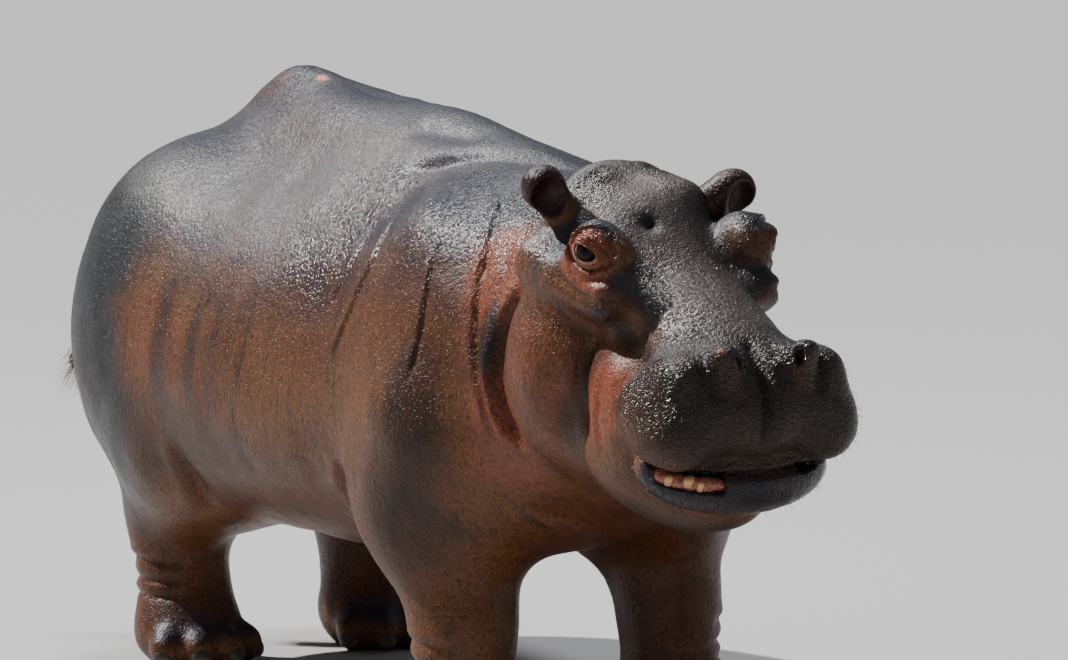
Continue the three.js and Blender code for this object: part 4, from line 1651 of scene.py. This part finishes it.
@dataclass(frozen=True)
class WetHide:
    """Bare wet hide: slate above, tinted blue as a painted sky reflection, red-brown below, finely pitted
    all over and cracked on the muzzle.
    """

    # grey of the upper hide, tinted blue as a painted sky reflection
    slate: Colour = (0.027, 0.028, 0.042)
    brown: Colour = (0.132, 0.050, 0.016)
    russet: Colour = (0.090, 0.027, 0.009)
    warm: Colour = (0.24, 0.060, 0.028)
    pink: Colour = (0.60, 0.25, 0.19)
    # near black: darker hide, and painted shade in pits, cracks and the marks noted as such
    dark: Colour = (0.011, 0.008, 0.007)
    # dark wet hide of the rump, tinted blue as a painted sky reflection
    shade: Colour = (0.015, 0.018, 0.022)
    bridge: Colour = (0.078, 0.060, 0.056)
    muzzle: Colour = (0.033, 0.021, 0.016)
    ear: Colour = (0.026, 0.006, 0.005)
    rim: Colour = (0.62, 0.36, 0.31)
    lip: Colour = (0.009, 0.009, 0.016)
    # painted shade of creases, nostrils and the mouth
    crease: Colour = (0.013, 0.006, 0.004)

    def tints(self) -> dict[str, Colour]:
        """Colours of the marks, in the order in which they lie over each other."""
        return {"bridge": self.bridge, "shade": self.shade, "muzzle": self.muzzle, "warm": self.warm,
                "dark": self.dark, "ear": self.ear, "pink": self.pink}

    def material(self) -> bpy.types.Material:
        """The finish: marks broken up by noise, pits, wrinkles and cracks as relief with painted shade in
        the pits, cracks and creases, uneven wetness.

        Returns:
            The material.
        """
        paint = Paint("hide_wet")
        up = paint.attribute("up")
        broad = paint.noise(2.6, 3)
        blotch = paint.noise(11, 4)
        mottle = paint.noise(52, 4)
        streaks = paint.noise(9, 4, paint.stretched((2.0, 1.0, 0.30)))
        colour = paint.mix((broad + (mottle - 0.5) * 0.5).rise(0.34, 0.64), self.russet, self.brown)
        # upward-facing hide takes the slate and its painted sky blue
        back = (up + (blotch - 0.5) * 0.6 + (mottle - 0.5) * 0.3).rise(0.12, 0.85)
        colour = paint.mix(back, colour, self.slate)
        colour = paint.mix(streaks.rise(0.52, 0.72) * (1 - back) * 0.60, colour, self.dark)
        colour = paint.mix(mottle.rise(0.52, 0.75) * (1 - back) * 0.25, colour, self.warm)
        for name, tint in self.tints().items():
            cover = paint.attribute(name)
            uneven = (cover + (blotch - 0.5) * 0.45 + (mottle - 0.5) * 0.40).rise(0.08, 0.98)
            colour = paint.mix(uneven * cover.rise(0.0, 0.2), colour, tint)
        colour = paint.mix(paint.attribute("orbit").rise(0.25, 0.9) * 0.75, colour, self.warm)
        lip = paint.attribute("lip")
        colour = paint.mix(lip * 0.92, colour, self.lip)
        colour = paint.mix(paint.attribute("rim") * 0.9, colour, self.rim)

        pits = paint.noise(112, 2)
        grain = paint.noise(300, 2)
        wrinkles = paint.noise(30, 4, paint.stretched((5.0, 3.0, 1.0), (0.0, 0.25, 0.0)))
        scales = paint.cracks(60, paint.stretched((1.0, 1.0, 0.6), (0.2, 0.4, 0.6)))
        net = paint.cracks(95)
        muzzle = paint.attribute("muzzle").rise(0.1, 0.6)
        wet = paint.attribute("wet")
        # dark in the cracks of the scales and of the muzzle's net and in the pits is painted shade; the
        # wrinkle streaks are a darker tone of the hide
        lines = (1 - scales.rise(0.0, 0.08)) * mottle.rise(0.35, 0.6) * 0.22 * (1 - muzzle)
        lines = lines + (1 - net.rise(0.0, 0.12)) * muzzle * 0.55 + wrinkles.rise(0.56, 0.70) * 0.25
        colour = paint.mix(lines + (1 - pits.rise(0.34, 0.52)) * 0.50, colour, self.dark)
        # painted shade in creases, nostrils and the mouth
        crease = paint.attribute("crease") + (mottle - 0.5) * 0.7
        colour = paint.mix(crease.rise(0.30, 0.95) * 0.85, colour, self.crease)

        drops = paint.noise(150, 1).rise(0.56, 0.70)
        height = pits * (wet * 2.4 + 1.3) + grain * 0.45 + wrinkles * 1.6 + scales.rise(0.0, 0.14) * 0.35
        height = height + drops * (wet * 2.0 + 0.8)
        height = height + net.rise(0.0, 0.18) * muzzle * 1.3 + mottle * 1.2
        paint.bump(height, 1.0)
        damp = (blotch + (mottle - 0.5) * 0.6).rise(0.36, 0.64)
        rough = 0.42 - damp * 0.08 - wet * 0.26 - drops * 0.06 + back * 0.05
        return paint.finish({"Base Color": colour, "Roughness": rough - lip * 0.24, "IOR": 1.34})


@dataclass(frozen=True)
class WetEye:
    """Dark brown eye with a black pupil, its white stained pink."""

    pupil: Colour = (0.004, 0.003, 0.003)
    iris: Colour = (0.012, 0.006, 0.004)
    iris_light: Colour = (0.026, 0.012, 0.006)
    limbus: Colour = (0.006, 0.004, 0.003)
    white: Colour = (0.42, 0.22, 0.17)

    def material(self) -> bpy.types.Material:
        """The finish, in rings by the angle from the middle of the pupil.

        Returns:
            The material.
        """
        paint = Paint("eye_wet")
        flecks = paint.noise(420, 4)
        angle = paint.attribute("angle") + (flecks - 0.5) * 3
        colour = paint.mix(flecks.rise(0.35, 0.65), self.iris, self.iris_light)
        colour = paint.mix(1 - angle.rise(12, 15), colour, self.pupil)
        colour = paint.mix(angle.rise(30, 38), colour, self.limbus)
        colour = paint.mix(angle.rise(43, 52), colour, self.white)
        rough = 0.05 + flecks * 0.03
        return paint.finish({"Base Color": colour, "Roughness": rough, "Specular IOR Level": 0.12})


@dataclass(frozen=True)
class Horn:
    """Worn dark horn of the nails, paler at the edge that touches the ground."""

    dark: Colour = (0.030, 0.024, 0.020)
    worn: Colour = (0.13, 0.10, 0.075)

    def material(self) -> bpy.types.Material:
        """The finish: growth lines across and grain down the nail.

        Returns:
            The material.
        """
        paint = Paint("nail_horn")
        grain = paint.noise(120, 4, paint.stretched((1.0, 1.0, 0.25)))
        lines = paint.noise(60, 2, paint.stretched((0.3, 0.3, 3.2)))
        low = paint.attribute("low")
        colour = paint.mix((low + (grain - 0.5) * 0.7).rise(0.45, 0.95), self.dark, self.worn)
        paint.bump(grain * 0.8 + lines * 0.8, 0.8)
        return paint.finish({"Base Color": colour, "Roughness": 0.34 + grain * 0.25})


@dataclass(frozen=True)
class GumAndIvory:
    """Wet pink gum and stained teeth."""

    gum: Colour = (0.38, 0.13, 0.075)
    gum_dark: Colour = (0.16, 0.040, 0.028)
    ivory: Colour = (0.70, 0.38, 0.17)
    stain: Colour = (0.34, 0.14, 0.06)

    def material(self) -> bpy.types.Material:
        """The finish: teeth darken towards the gum, the gum is mottled.

        Returns:
            The material.
        """
        paint = Paint("gum_and_teeth")
        spots = paint.noise(180, 3)
        grain = paint.noise(320, 3, paint.stretched((1.0, 1.0, 0.2)))
        tooth = paint.attribute("tooth")
        root = paint.attribute("root")
        gum = paint.mix(spots.rise(0.40, 0.62), self.gum_dark, self.gum)
        ivory = paint.mix((root + (grain - 0.5) * 0.6).rise(0.35, 0.95), self.ivory, self.stain)
        paint.bump(spots * 0.6 + grain * 0.3, 0.8)
        return paint.finish({"Base Color": paint.mix(tooth, gum, ivory), "Roughness": 0.20 + spots * 0.18})


@dataclass(frozen=True)
class StiffHair:
    """Brown hair, each strand a little lighter or darker than the next."""

    dark: Colour = (0.020, 0.012, 0.008)
    light: Colour = (0.115, 0.070, 0.042)

    def material(self) -> bpy.types.Material:
        """The finish, by the tone that each strand carries.

        Returns:
            The material.
        """
        paint = Paint("stiff_hair")
        tone = paint.attribute("tone") + (paint.noise(200, 2) - 0.5) * 0.3
        colour = paint.mix(tone.rise(0, 1), self.dark, self.light)
        return paint.finish({"Base Color": colour, "Roughness": 0.42})


@dataclass(frozen=True)
class PaleFloor:
    """Plain matt floor."""

    colour: Colour = (0.44, 0.44, 0.45)

    def material(self) -> bpy.types.Material:
        """The finish."""
        return Paint("floor_pale").finish({"Base Color": self.colour, "Roughness": 0.85})


# ------------ eyes, nails, teeth and hair
@dataclass(frozen=True)
class Globe:
    """One eyeball with a low cornea, turned a little forward of its socket."""

    side: int
    forward: float = 0.16
    cornea: float = 0.0012
    cornea_reach: float = 0.5
    rings: int = 40
    columns: int = 56

    def build(self, name: str) -> bpy.types.Object:
        """Sphere by angle a from the gaze and angle b round it, raised by the cornea near the gaze.

        Point = centre + (R + cornea e^(-(a / reach)^2)) (cos a gaze + sin a (cos b side + sin b up)).

        Args:
            name: name of the piece.

        Returns:
            The piece, with the angle kept at each vertex.
        """
        gaze = unit(ANIMAL.outward(self.side) + np.array([self.forward, 0, 0.02]))
        aside = unit(np.cross(gaze, (0, 0, 1)))
        above = np.cross(aside, gaze)
        a = np.linspace(0.002, math.pi - 0.002, self.rings)[:, None]
        b = np.linspace(0, 2 * math.pi, self.columns, endpoint=False)[None]
        radius = ANIMAL.globe + self.cornea * bump_at(a, 0, self.cornea_reach) + 0 * b
        direction = (np.cos(a) * np.ones_like(b))[..., None] * gaze
        direction = direction + (np.sin(a) * np.cos(b))[..., None] * aside
        direction = direction + (np.sin(a) * np.sin(b))[..., None] * above
        points = ANIMAL.eye_centre(self.side) + radius[..., None] * direction
        points = ANIMAL.from_head(points.reshape(-1, 3)) + ANIMAL.shift()
        faces = grid_faces(self.rings, self.columns).tolist()
        last = (self.rings - 1) * self.columns
        faces.append(list(range(self.columns)))
        faces.append(list(range(last, last + self.columns)))
        piece = outward(new_mesh(name, points, faces))
        store(piece.data, "angle", np.degrees(a + 0 * b).ravel())
        return piece


def outward(piece: bpy.types.Object) -> bpy.types.Object:
    """Turns every face of closed shells outward.

    Args:
        piece: the piece.

    Returns:
        The same piece.
    """
    work = bmesh.new()
    work.from_mesh(piece.data)
    bmesh.ops.recalc_face_normals(work, faces=work.faces)
    work.to_mesh(piece.data)
    work.free()
    return piece


@dataclass(frozen=True)
class Nails:
    """Four hoof-like nails of one foot."""

    foot: Foot
    side: int
    radii: Triple = (0.021, 0.026, 0.025)
    fullness: float = 0.8
    taper: tuple[float, float] = (0.18, 0.22)
    rings: int = 16
    columns: int = 24

    def build(self, name: str) -> bpy.types.Object:
        """Each nail is a rounded wedge: broad and flat below, drawn in to an arch above.

        Point = centre + (r1 f cos b (1 - t1 s), r2 f sin b (1 - t2 s), r3 s) turned by the toe's angle,
        with s = sin a, f = cos a to the power of the fullness, t the taper and a from below to above.

        Args:
            name: name of the piece.

        Returns:
            The piece, with how low each vertex lies.
        """
        a = np.linspace(-math.pi / 2 + 0.05, math.pi / 2 - 0.05, self.rings)[:, None]
        b = np.linspace(0, 2 * math.pi, self.columns, endpoint=False)[None]
        rise, wide = np.sin(a) + 0 * b, np.cos(a) ** self.fullness
        points, faces, low = [], [], []
        for index, angle in enumerate(self.foot.toes):
            turn = math.radians(angle) * self.side
            cos, sin = math.cos(turn), math.sin(turn)
            x = self.radii[0] * wide * np.cos(b) * (1 - self.taper[0] * rise)
            y = self.radii[1] * wide * np.sin(b) * (1 - self.taper[1] * rise)
            centre = (self.foot.x + self.foot.ahead + self.foot.nail_reach * cos,
                      self.side * self.foot.y + self.foot.nail_reach * sin, self.foot.nail_height)
            nail = np.stack([x * cos - y * sin, x * sin + y * cos, self.radii[2] * rise], -1)
            points.append(nail.reshape(-1, 3) + centre)
            start = index * self.rings * self.columns
            faces += grid_faces(self.rings, self.columns, start).tolist()
            last = start + (self.rings - 1) * self.columns
            faces += [list(range(start, start + self.columns)), list(range(last, last + self.columns))]
            low.append((0.5 - 0.5 * rise).ravel())
        piece = outward(new_mesh(name, np.concatenate(points) + ANIMAL.shift(), faces))
        store(piece.data, "low", np.concatenate(low))
        return piece


@dataclass(frozen=True)
class Jaw:
    """Gum and three teeth that show at one side of the front of the mouth."""

    side: int
    gum: tuple[Triple, ...] = ((0.565, 0.214, -0.293), (0.622, 0.186, -0.292), (0.650, 0.154, -0.291),
                               (0.667, 0.120, -0.290), (0.678, 0.060, -0.290))
    gum_radius: float = 0.0165
    lump_height: float = 0.08
    lump_radians: float = 34
    gum_rings: int = 28
    teeth: tuple[Triple, ...] = ((0.640, 0.183, -0.289), (0.661, 0.147, -0.284), (0.673, 0.123, -0.290))
    sizes: Triple = (0.92, 1.12, 0.84)
    tooth_radius: float = 0.0115
    tooth_height: float = 0.024
    tooth_lean: Triple = (0.12, 0.05, 1.0)
    tooth_taper: float = 0.22
    tooth_flat: float = 1.15
    tooth_rings: int = 14
    left_inset: float = 0.022
    columns: int = 20

    def tube(self, path: Array, radii: Array, flat: float = 1.0) -> tuple[Array, list]:
        """Rings of radius r round a path, each with two axes square to the path, and closed ends.

        Args:
            path: points of the middle.
            radii: radius at each point.
            flat: width over depth of each ring.

        Returns:
            Points and faces.
        """
        along = unit(np.gradient(path, axis=0))
        across = (0.31, 0.17, 0.94) if abs(along[0, 2]) < 0.8 else (0.86, 0.5, 0)
        aside = unit(np.cross(along, across))
        other = np.cross(along, aside)
        b = np.linspace(0, 2 * math.pi, self.columns, endpoint=False)
        ring = np.cos(b)[None, :, None] * aside[:, None] * flat + np.sin(b)[None, :, None] * other[:, None]
        points = path[:, None] + radii[:, None, None] * ring
        faces = grid_faces(len(path), self.columns).tolist()
        last = (len(path) - 1) * self.columns
        faces += [list(range(self.columns)), list(range(last, last + self.columns))]
        return points.reshape(-1, 3), faces

    def build(self, name: str) -> bpy.types.Object:
        """The gum is a tube with rounded ends and lumps; each tooth is a blunt tapered peg.

        Radius = r sqrt(1 - (2 s - 1)^6), with s from end to end, and times 1 - taper s for a tooth.

        Args:
            name: name of the piece.

        Returns:
            The piece; each vertex keeps whether it is tooth and how near the root it lies.
        """
        mirror_y = np.array([1, self.side, 1])
        t = np.linspace(0, 1, self.gum_rings)
        knots = np.array(self.gum)
        path = np.stack([np.interp(t * (len(knots) - 1), np.arange(len(knots)), k) for k in knots.T], -1)
        inset = self.left_inset if self.side > 0 else 0.0
        lumps = 1 + self.lump_height * np.sin(t * self.lump_radians)
        radii = self.gum_radius * np.sqrt(np.clip(1 - (2 * t - 1) ** 6, 0.02, 1)) * lumps
        points, faces = self.tube(path * mirror_y - (inset, 0, 0), radii)
        tooth, root = np.zeros(len(points)), np.zeros(len(points))
        for (x, y, z), size in zip(self.teeth, self.sizes):
            s = np.linspace(0, 1, self.tooth_rings)
            foot = np.array([x - inset, y * self.side, z - self.tooth_height / 2])
            peg = foot + s[:, None] * self.tooth_height * (np.array(self.tooth_lean) * mirror_y)
            width = self.tooth_radius * size * (1 - self.tooth_taper * s)
            width = width * np.sqrt(np.clip(1 - (2 * s - 1) ** 6, 0.03, 1))
            more, rings = self.tube(peg, width, self.tooth_flat)
            faces += [[n + len(points) for n in face] for face in rings]
            points = np.concatenate([points, more])
            tooth = np.concatenate([tooth, np.ones(len(more))])
            root = np.concatenate([root, np.repeat(1 - s, self.columns)])
        piece = outward(new_mesh(name, ANIMAL.from_head(points) + ANIMAL.shift(), faces))
        store(piece.data, "tooth", tooth)
        store(piece.data, "root", root)
        return piece


@dataclass(frozen=True)
class Tufts:
    """Stiff strands that stand in small tufts on one part of the hide.

    Strands scatter about their tuft's root, start below the hide and take a small patch of the map.
    """

    SCATTER: ClassVar[float] = 0.0012
    ROOTED: ClassVar[float] = 0.002
    PATCH: ClassVar[float] = 0.0015

    name: str
    count: int
    strands: int
    length: tuple[float, float]
    thickness: float
    spread: float
    sag: float
    seed: int
    unwrap_axis: tuple[Triple, Triple]

    def unwrap(self, roots: Array) -> Array:
        """Place of each root on the hide wound flat.

        Args:
            roots: places on the hide.

        Returns:
            For each, the turn about the part's long axis and the way along it, from 0 to 1.
        """
        start, end = (np.array(v) for v in self.unwrap_axis)
        axis = unit(end - start)
        aside = unit(np.cross(axis, (0, 0, 1)))
        above = np.cross(aside, axis)
        offset = roots - start
        turn = np.arctan2(offset @ above, offset @ aside) / (2 * math.pi) + 0.5
        along = (offset @ axis) / np.linalg.norm(end - start)
        return np.clip(np.stack([turn, along], -1), 0.01, 0.99)

    def build(self, roots: Array, normals: Array, lean: Array) -> bpy.types.Object:
        """Strands with three sides that taper to a point.

        Point = root + L (s direction - sag s^2 up) + r (1 - s) (cos b side + sin b other).

        Args:
            roots: places on the hide.
            normals: the hide's directions there.
            lean: direction added to every strand.

        Returns:
            The piece, with its baking map and a tone for each strand.
        """
        rng = np.random.default_rng(self.seed)
        chosen = rng.choice(len(roots), self.count, replace=len(roots) < self.count)
        root = np.repeat(roots[chosen], self.strands, 0)
        patch = np.repeat(self.unwrap(roots[chosen]), self.strands, 0)
        facing = unit(np.repeat(normals[chosen], self.strands, 0) + lean)
        n = len(root)
        facing = unit(facing + rng.normal(0, self.spread, (n, 3)))
        root = root + rng.normal(0, self.SCATTER, (n, 3)) - self.ROOTED * facing
        length = rng.uniform(*self.length, n)[:, None]
        aside = unit(np.cross(facing, rng.normal(0, 1, (n, 3))))
        other = np.cross(facing, aside)
        s = np.array([0, 0.35, 0.7])
        b = np.radians([0, 120, 240])
        middle = root[:, None] + length[:, None] * (s[:, None] * facing[:, None])
        middle[..., 2] -= length * self.sag * s**2
        ring = np.cos(b)[:, None] * aside[:, None] + np.sin(b)[:, None] * other[:, None]
        sides = middle[:, :, None] + self.thickness * (1 - s)[None, :, None, None] * ring[:, None]
        tip = root + length * facing
        tip[:, 2] -= length[:, 0] * self.sag
        points = np.concatenate([sides.reshape(n, 9, 3), tip[:, None]], 1)
        faces = [[2, 1, 0]]
        for level in (0, 3):
            for k in range(3):
                m = (k + 1) % 3
                faces += [[level + k, level + m, level + 3 + m], [level + k, level + 3 + m, level + 3 + k]]
        faces += [[6, 7, 9], [7, 8, 9], [8, 6, 9]]
        all_faces = (np.array(faces)[None] + 10 * np.arange(n)[:, None, None]).reshape(-1, 3)
        piece = new_mesh(self.name, points.reshape(-1, 3), all_faces)
        store(piece.data, "tone", np.repeat(rng.uniform(0, 1, n), 10))
        place = np.array([(dx, dy) for dy in (-1, -0.3, 0.4) for dx in (-1, 0, 1)] + [(0, 1)]) * self.PATCH
        uv = (patch[:, None] + place[None]).reshape(-1, 2)
        layer = piece.data.uv_layers.new(name="OFBake")
        layer.data.foreach_set("uv", uv[all_faces.ravel()].astype(np.float32).ravel())
        return piece


# ------------ the stand, the lights and the view
@dataclass(frozen=True)
class Studio:
    """Pale floor, a key from the upper left, a panel overhead, and a long lens before the right side.

    The lamps' directions are steps to the view's right, up and back; both lamps are a little beyond
    the animal, so that its tops shine.
    """

    aim: Triple = (0.958, 0.092, 0.922)
    azimuth: float = -28.45
    elevation: float = 6.32
    distance: float = 14.0
    roll: float = 0.7
    lens: float = 200.56
    sensor: float = 36
    farthest: float = 200
    fill: Colour = (0.86, 0.93, 1.0)
    fill_strength: float = 0.25
    key_from: Triple = (-0.60, 0.72, -0.26)
    key_strength: float = 7.2
    key_angle: float = 1.2
    key_colour: Colour = (1, 0.97, 0.93)
    panel_from: Triple = (-0.14, 0.94, -0.31)
    panel_watts: float = 330
    panel_width: float = 1.3
    lamp_distance: float = 7
    lamp_target: Triple = (0, 0, 0.8)
    floor_radius: float = 60
    floor_corners: int = 96

    def axes(self) -> Array:
        """Directions of the view.

        Returns:
            Right, up and back as columns.
        """
        a, e, r = np.radians([self.azimuth, self.elevation, self.roll])
        back = np.array([math.cos(a) * math.cos(e), math.sin(a) * math.cos(e), math.sin(e)])
        right = unit(np.cross((0, 0, 1), back))
        up = np.cross(back, right)
        turned_right = right * math.cos(r) - up * math.sin(r)
        turned_up = right * math.sin(r) + up * math.cos(r)
        return np.stack([turned_right, turned_up, back], -1)

    def camera(self) -> None:
        """Places the camera."""
        axes = self.axes()
        lens = bpy.data.cameras.new("view")
        lens.lens = self.lens
        lens.sensor_width = self.sensor
        lens.clip_end = self.farthest
        eye = bpy.data.objects.new("view", lens)
        matrix = np.eye(4)
        matrix[:3, :3] = axes
        matrix[:3, 3] = np.array(self.aim) + ANIMAL.shift() + self.distance * axes[:, 2]
        eye.matrix_world = Matrix(matrix.tolist())
        bpy.context.scene.collection.objects.link(eye)
        bpy.context.scene.camera = eye

    def towards(self, steps: Triple) -> Array:
        """Direction of steps to the view's right, up and back."""
        right, up, back = self.axes().T
        return unit(steps[0] * right + steps[1] * up + steps[2] * back)

    def hang(self, name: str, lamp: bpy.types.Light, steps: Triple) -> None:
        """Hangs a lamp so that it shines on the animal.

        Args:
            name: name of the lamp.
            lamp: the lamp.
            steps: direction that it shines from.
        """
        back = self.towards(steps)
        right = unit(np.cross((0, 0, 1), back))
        matrix = np.eye(4)
        matrix[:3, :3] = np.stack([right, np.cross(back, right), back], -1)
        matrix[:3, 3] = back * self.lamp_distance + np.array(self.lamp_target)
        holder = bpy.data.objects.new(name, lamp)
        holder.matrix_world = Matrix(matrix.tolist())
        bpy.context.scene.collection.objects.link(holder)

    def lights(self) -> None:
        """Small key from the upper left, a panel overhead, and an even bluish fill."""
        key = bpy.data.lights.new("key", "SUN")
        key.energy = self.key_strength
        key.color = self.key_colour
        key.angle = math.radians(self.key_angle)
        self.hang("key", key, self.key_from)
        panel = bpy.data.lights.new("panel", "AREA")
        panel.energy = self.panel_watts
        panel.size = self.panel_width
        self.hang("panel", panel, self.panel_from)
        world = bpy.data.worlds.new("studio")
        world.use_nodes = True
        shade = world.node_tree.nodes["Background"]
        shade.inputs["Color"].default_value = (*self.fill, 1)
        shade.inputs["Strength"].default_value = self.fill_strength
        bpy.context.scene.world = world

    def floor(self) -> None:
        """Round floor, far wider than the view."""
        turn = np.linspace(0, 2 * math.pi, self.floor_corners, endpoint=False)
        rim = self.floor_radius * np.stack([np.cos(turn), np.sin(turn), 0 * turn], -1)
        floor = new_mesh("floor", rim, [list(range(len(turn)))])
        floor.data.materials.append(PaleFloor().material())


# ------------ the whole animal
FLESH = ["trunk", "neck", "tail", "head", "lower_jaw", "ear_right", "ear_left",
         "foreleg_right", "foreleg_left", "hindleg_right", "hindleg_left",
         "forefoot_right", "forefoot_left", "hindfoot_right", "hindfoot_left"]


@dataclass
class Hippopotamus:
    """Hide, eyes, nails, teeth and hair, with the bounds between which each kind of hair grows."""

    muzzle: Tufts = Tufts("muzzle_bristles", 240, 2, (0.010, 0.030), 0.00042, 0.22, 0.25, 11,
                          ((2.0, -0.16, 1.05), (2.55, -0.18, 0.85)))
    ears: Tufts = Tufts("ear_hairs", 90, 2, (0.008, 0.020), 0.00032, 0.30, 0.10, 12,
                        ((1.80, -0.45, 1.25), (1.95, 0.20, 1.35)))
    tail: Tufts = Tufts("tail_bristles", 120, 3, (0.035, 0.085), 0.00060, 0.22, 0.45, 13,
                        ((-0.78, -0.10, 0.88), (-0.88, -0.28, 0.66)))
    muzzle_from: float = 0.50
    muzzle_heights: tuple[float, float] = (-0.36, -0.05)
    lip_line: float = -0.275
    lip_gap: float = 0.035
    rim_reach: tuple[float, float] = (0.038, 0.075)
    rim_below: float = 0.03
    tail_behind: float = -0.825
    tail_below: float = 0.80

    def hide(self) -> bpy.types.Object:
        """The skin, which stands for every node of flesh.

        Returns:
            The piece.
        """
        piece = Hide(TaperedNet()).build()
        finish_piece(piece, WetHide().material(), "hide", *FLESH)
        return piece

    def small_parts(self) -> None:
        """Eyes, teeth and nails, each for its own nodes."""
        eye, tooth, horn = WetEye().material(), GumAndIvory().material(), Horn().material()
        for name, side in SIDES:
            finish_piece(Globe(side).build(f"globe_{name}"), eye, "eye", f"eye_{name}")
            finish_piece(Jaw(side).build(f"gum_and_teeth_{name}"), tooth, "tooth", f"teeth_{name}")
            for pair, foot in (("fore", FORE), ("hind", HIND)):
                nodes = [f"{pair}nail_{name}_{n}" for n in range(1, 5)]
                finish_piece(Nails(foot, side).build(f"{pair}nails_{name}"), horn, "nail", *nodes)

    def hair(self, hide: bpy.types.Object) -> None:
        """Bristles of the muzzle and tail, and hairs of the ears, rooted in the hide.

        Args:
            hide: the skin.
        """
        hair = StiffHair().material()
        points = coordinates(hide.data)
        normals = np.empty(len(points) * 3, np.float32)
        hide.data.vertices.foreach_get("normal", normals)
        normals = normals.reshape(-1, 3).astype(float)
        p = points - ANIMAL.shift()
        q = ANIMAL.to_head(p)
        local = normals @ ANIMAL.axes()
        on_tail = (p[:, 0] < self.tail_behind) & (p[:, 2] < self.tail_below)
        forward, up = ANIMAL.axes()[:, 0], np.array([0.0, 0.0, 1.0])
        growths = (
            (self.muzzle, self.on_muzzle(q, local), 0.35 * forward - 0.35 * up),
            (self.ears, self.on_ears(q, local), 0.9 * forward + 0.3 * up),
            (self.tail, on_tail, np.array([-0.9, -1.2, -2.0])),
        )
        for tufts, where, lean in growths:
            piece = tufts.build(points[where], normals[where], lean)
            finish_piece(piece, hair, "hide")

    def on_muzzle(self, q: Array, normals: Array) -> Array:
        """Head points on the front and sides of the muzzle and chin, clear of the lips' line.

        Args:
            q: head points.
            normals: the hide's directions there, in the head's axes.

        Returns:
            True for each such point.
        """
        low, high = self.muzzle_heights
        muzzle = (q[:, 0] > self.muzzle_from) & (q[:, 2] < high) & (q[:, 2] > low)
        muzzle &= np.abs(q[:, 2] - self.lip_line) > self.lip_gap
        return muzzle & ((normals[:, 0] > 0.05) | (np.abs(normals[:, 1]) > 0.6))

    def on_ears(self, q: Array, normals: Array) -> Array:
        """Head points on the ears' rims that don't face backward.

        Args:
            q: head points.
            normals: the hide's directions there, in the head's axes.

        Returns:
            True for each such point.
        """
        rims = np.zeros(len(q), bool)
        for ear in EARS:
            reach = np.linalg.norm(q - np.array(ear.tip), axis=1)
            ring = (reach > self.rim_reach[0]) & (reach < self.rim_reach[1])
            rims |= ring & (q[:, 2] > ear.tip[2] - self.rim_below)
        return rims & (normals[:, 0] > -0.35)


def main() -> None:
    """Builds the animal and the studio in order."""
    logging.basicConfig(level=logging.INFO, format="%(message)s")
    studio = Studio()
    studio.camera()
    studio.lights()
    studio.floor()
    animal = Hippopotamus()
    hide = animal.hide()
    animal.small_parts()
    animal.hair(hide)


if __name__ == "__main__":
    main()
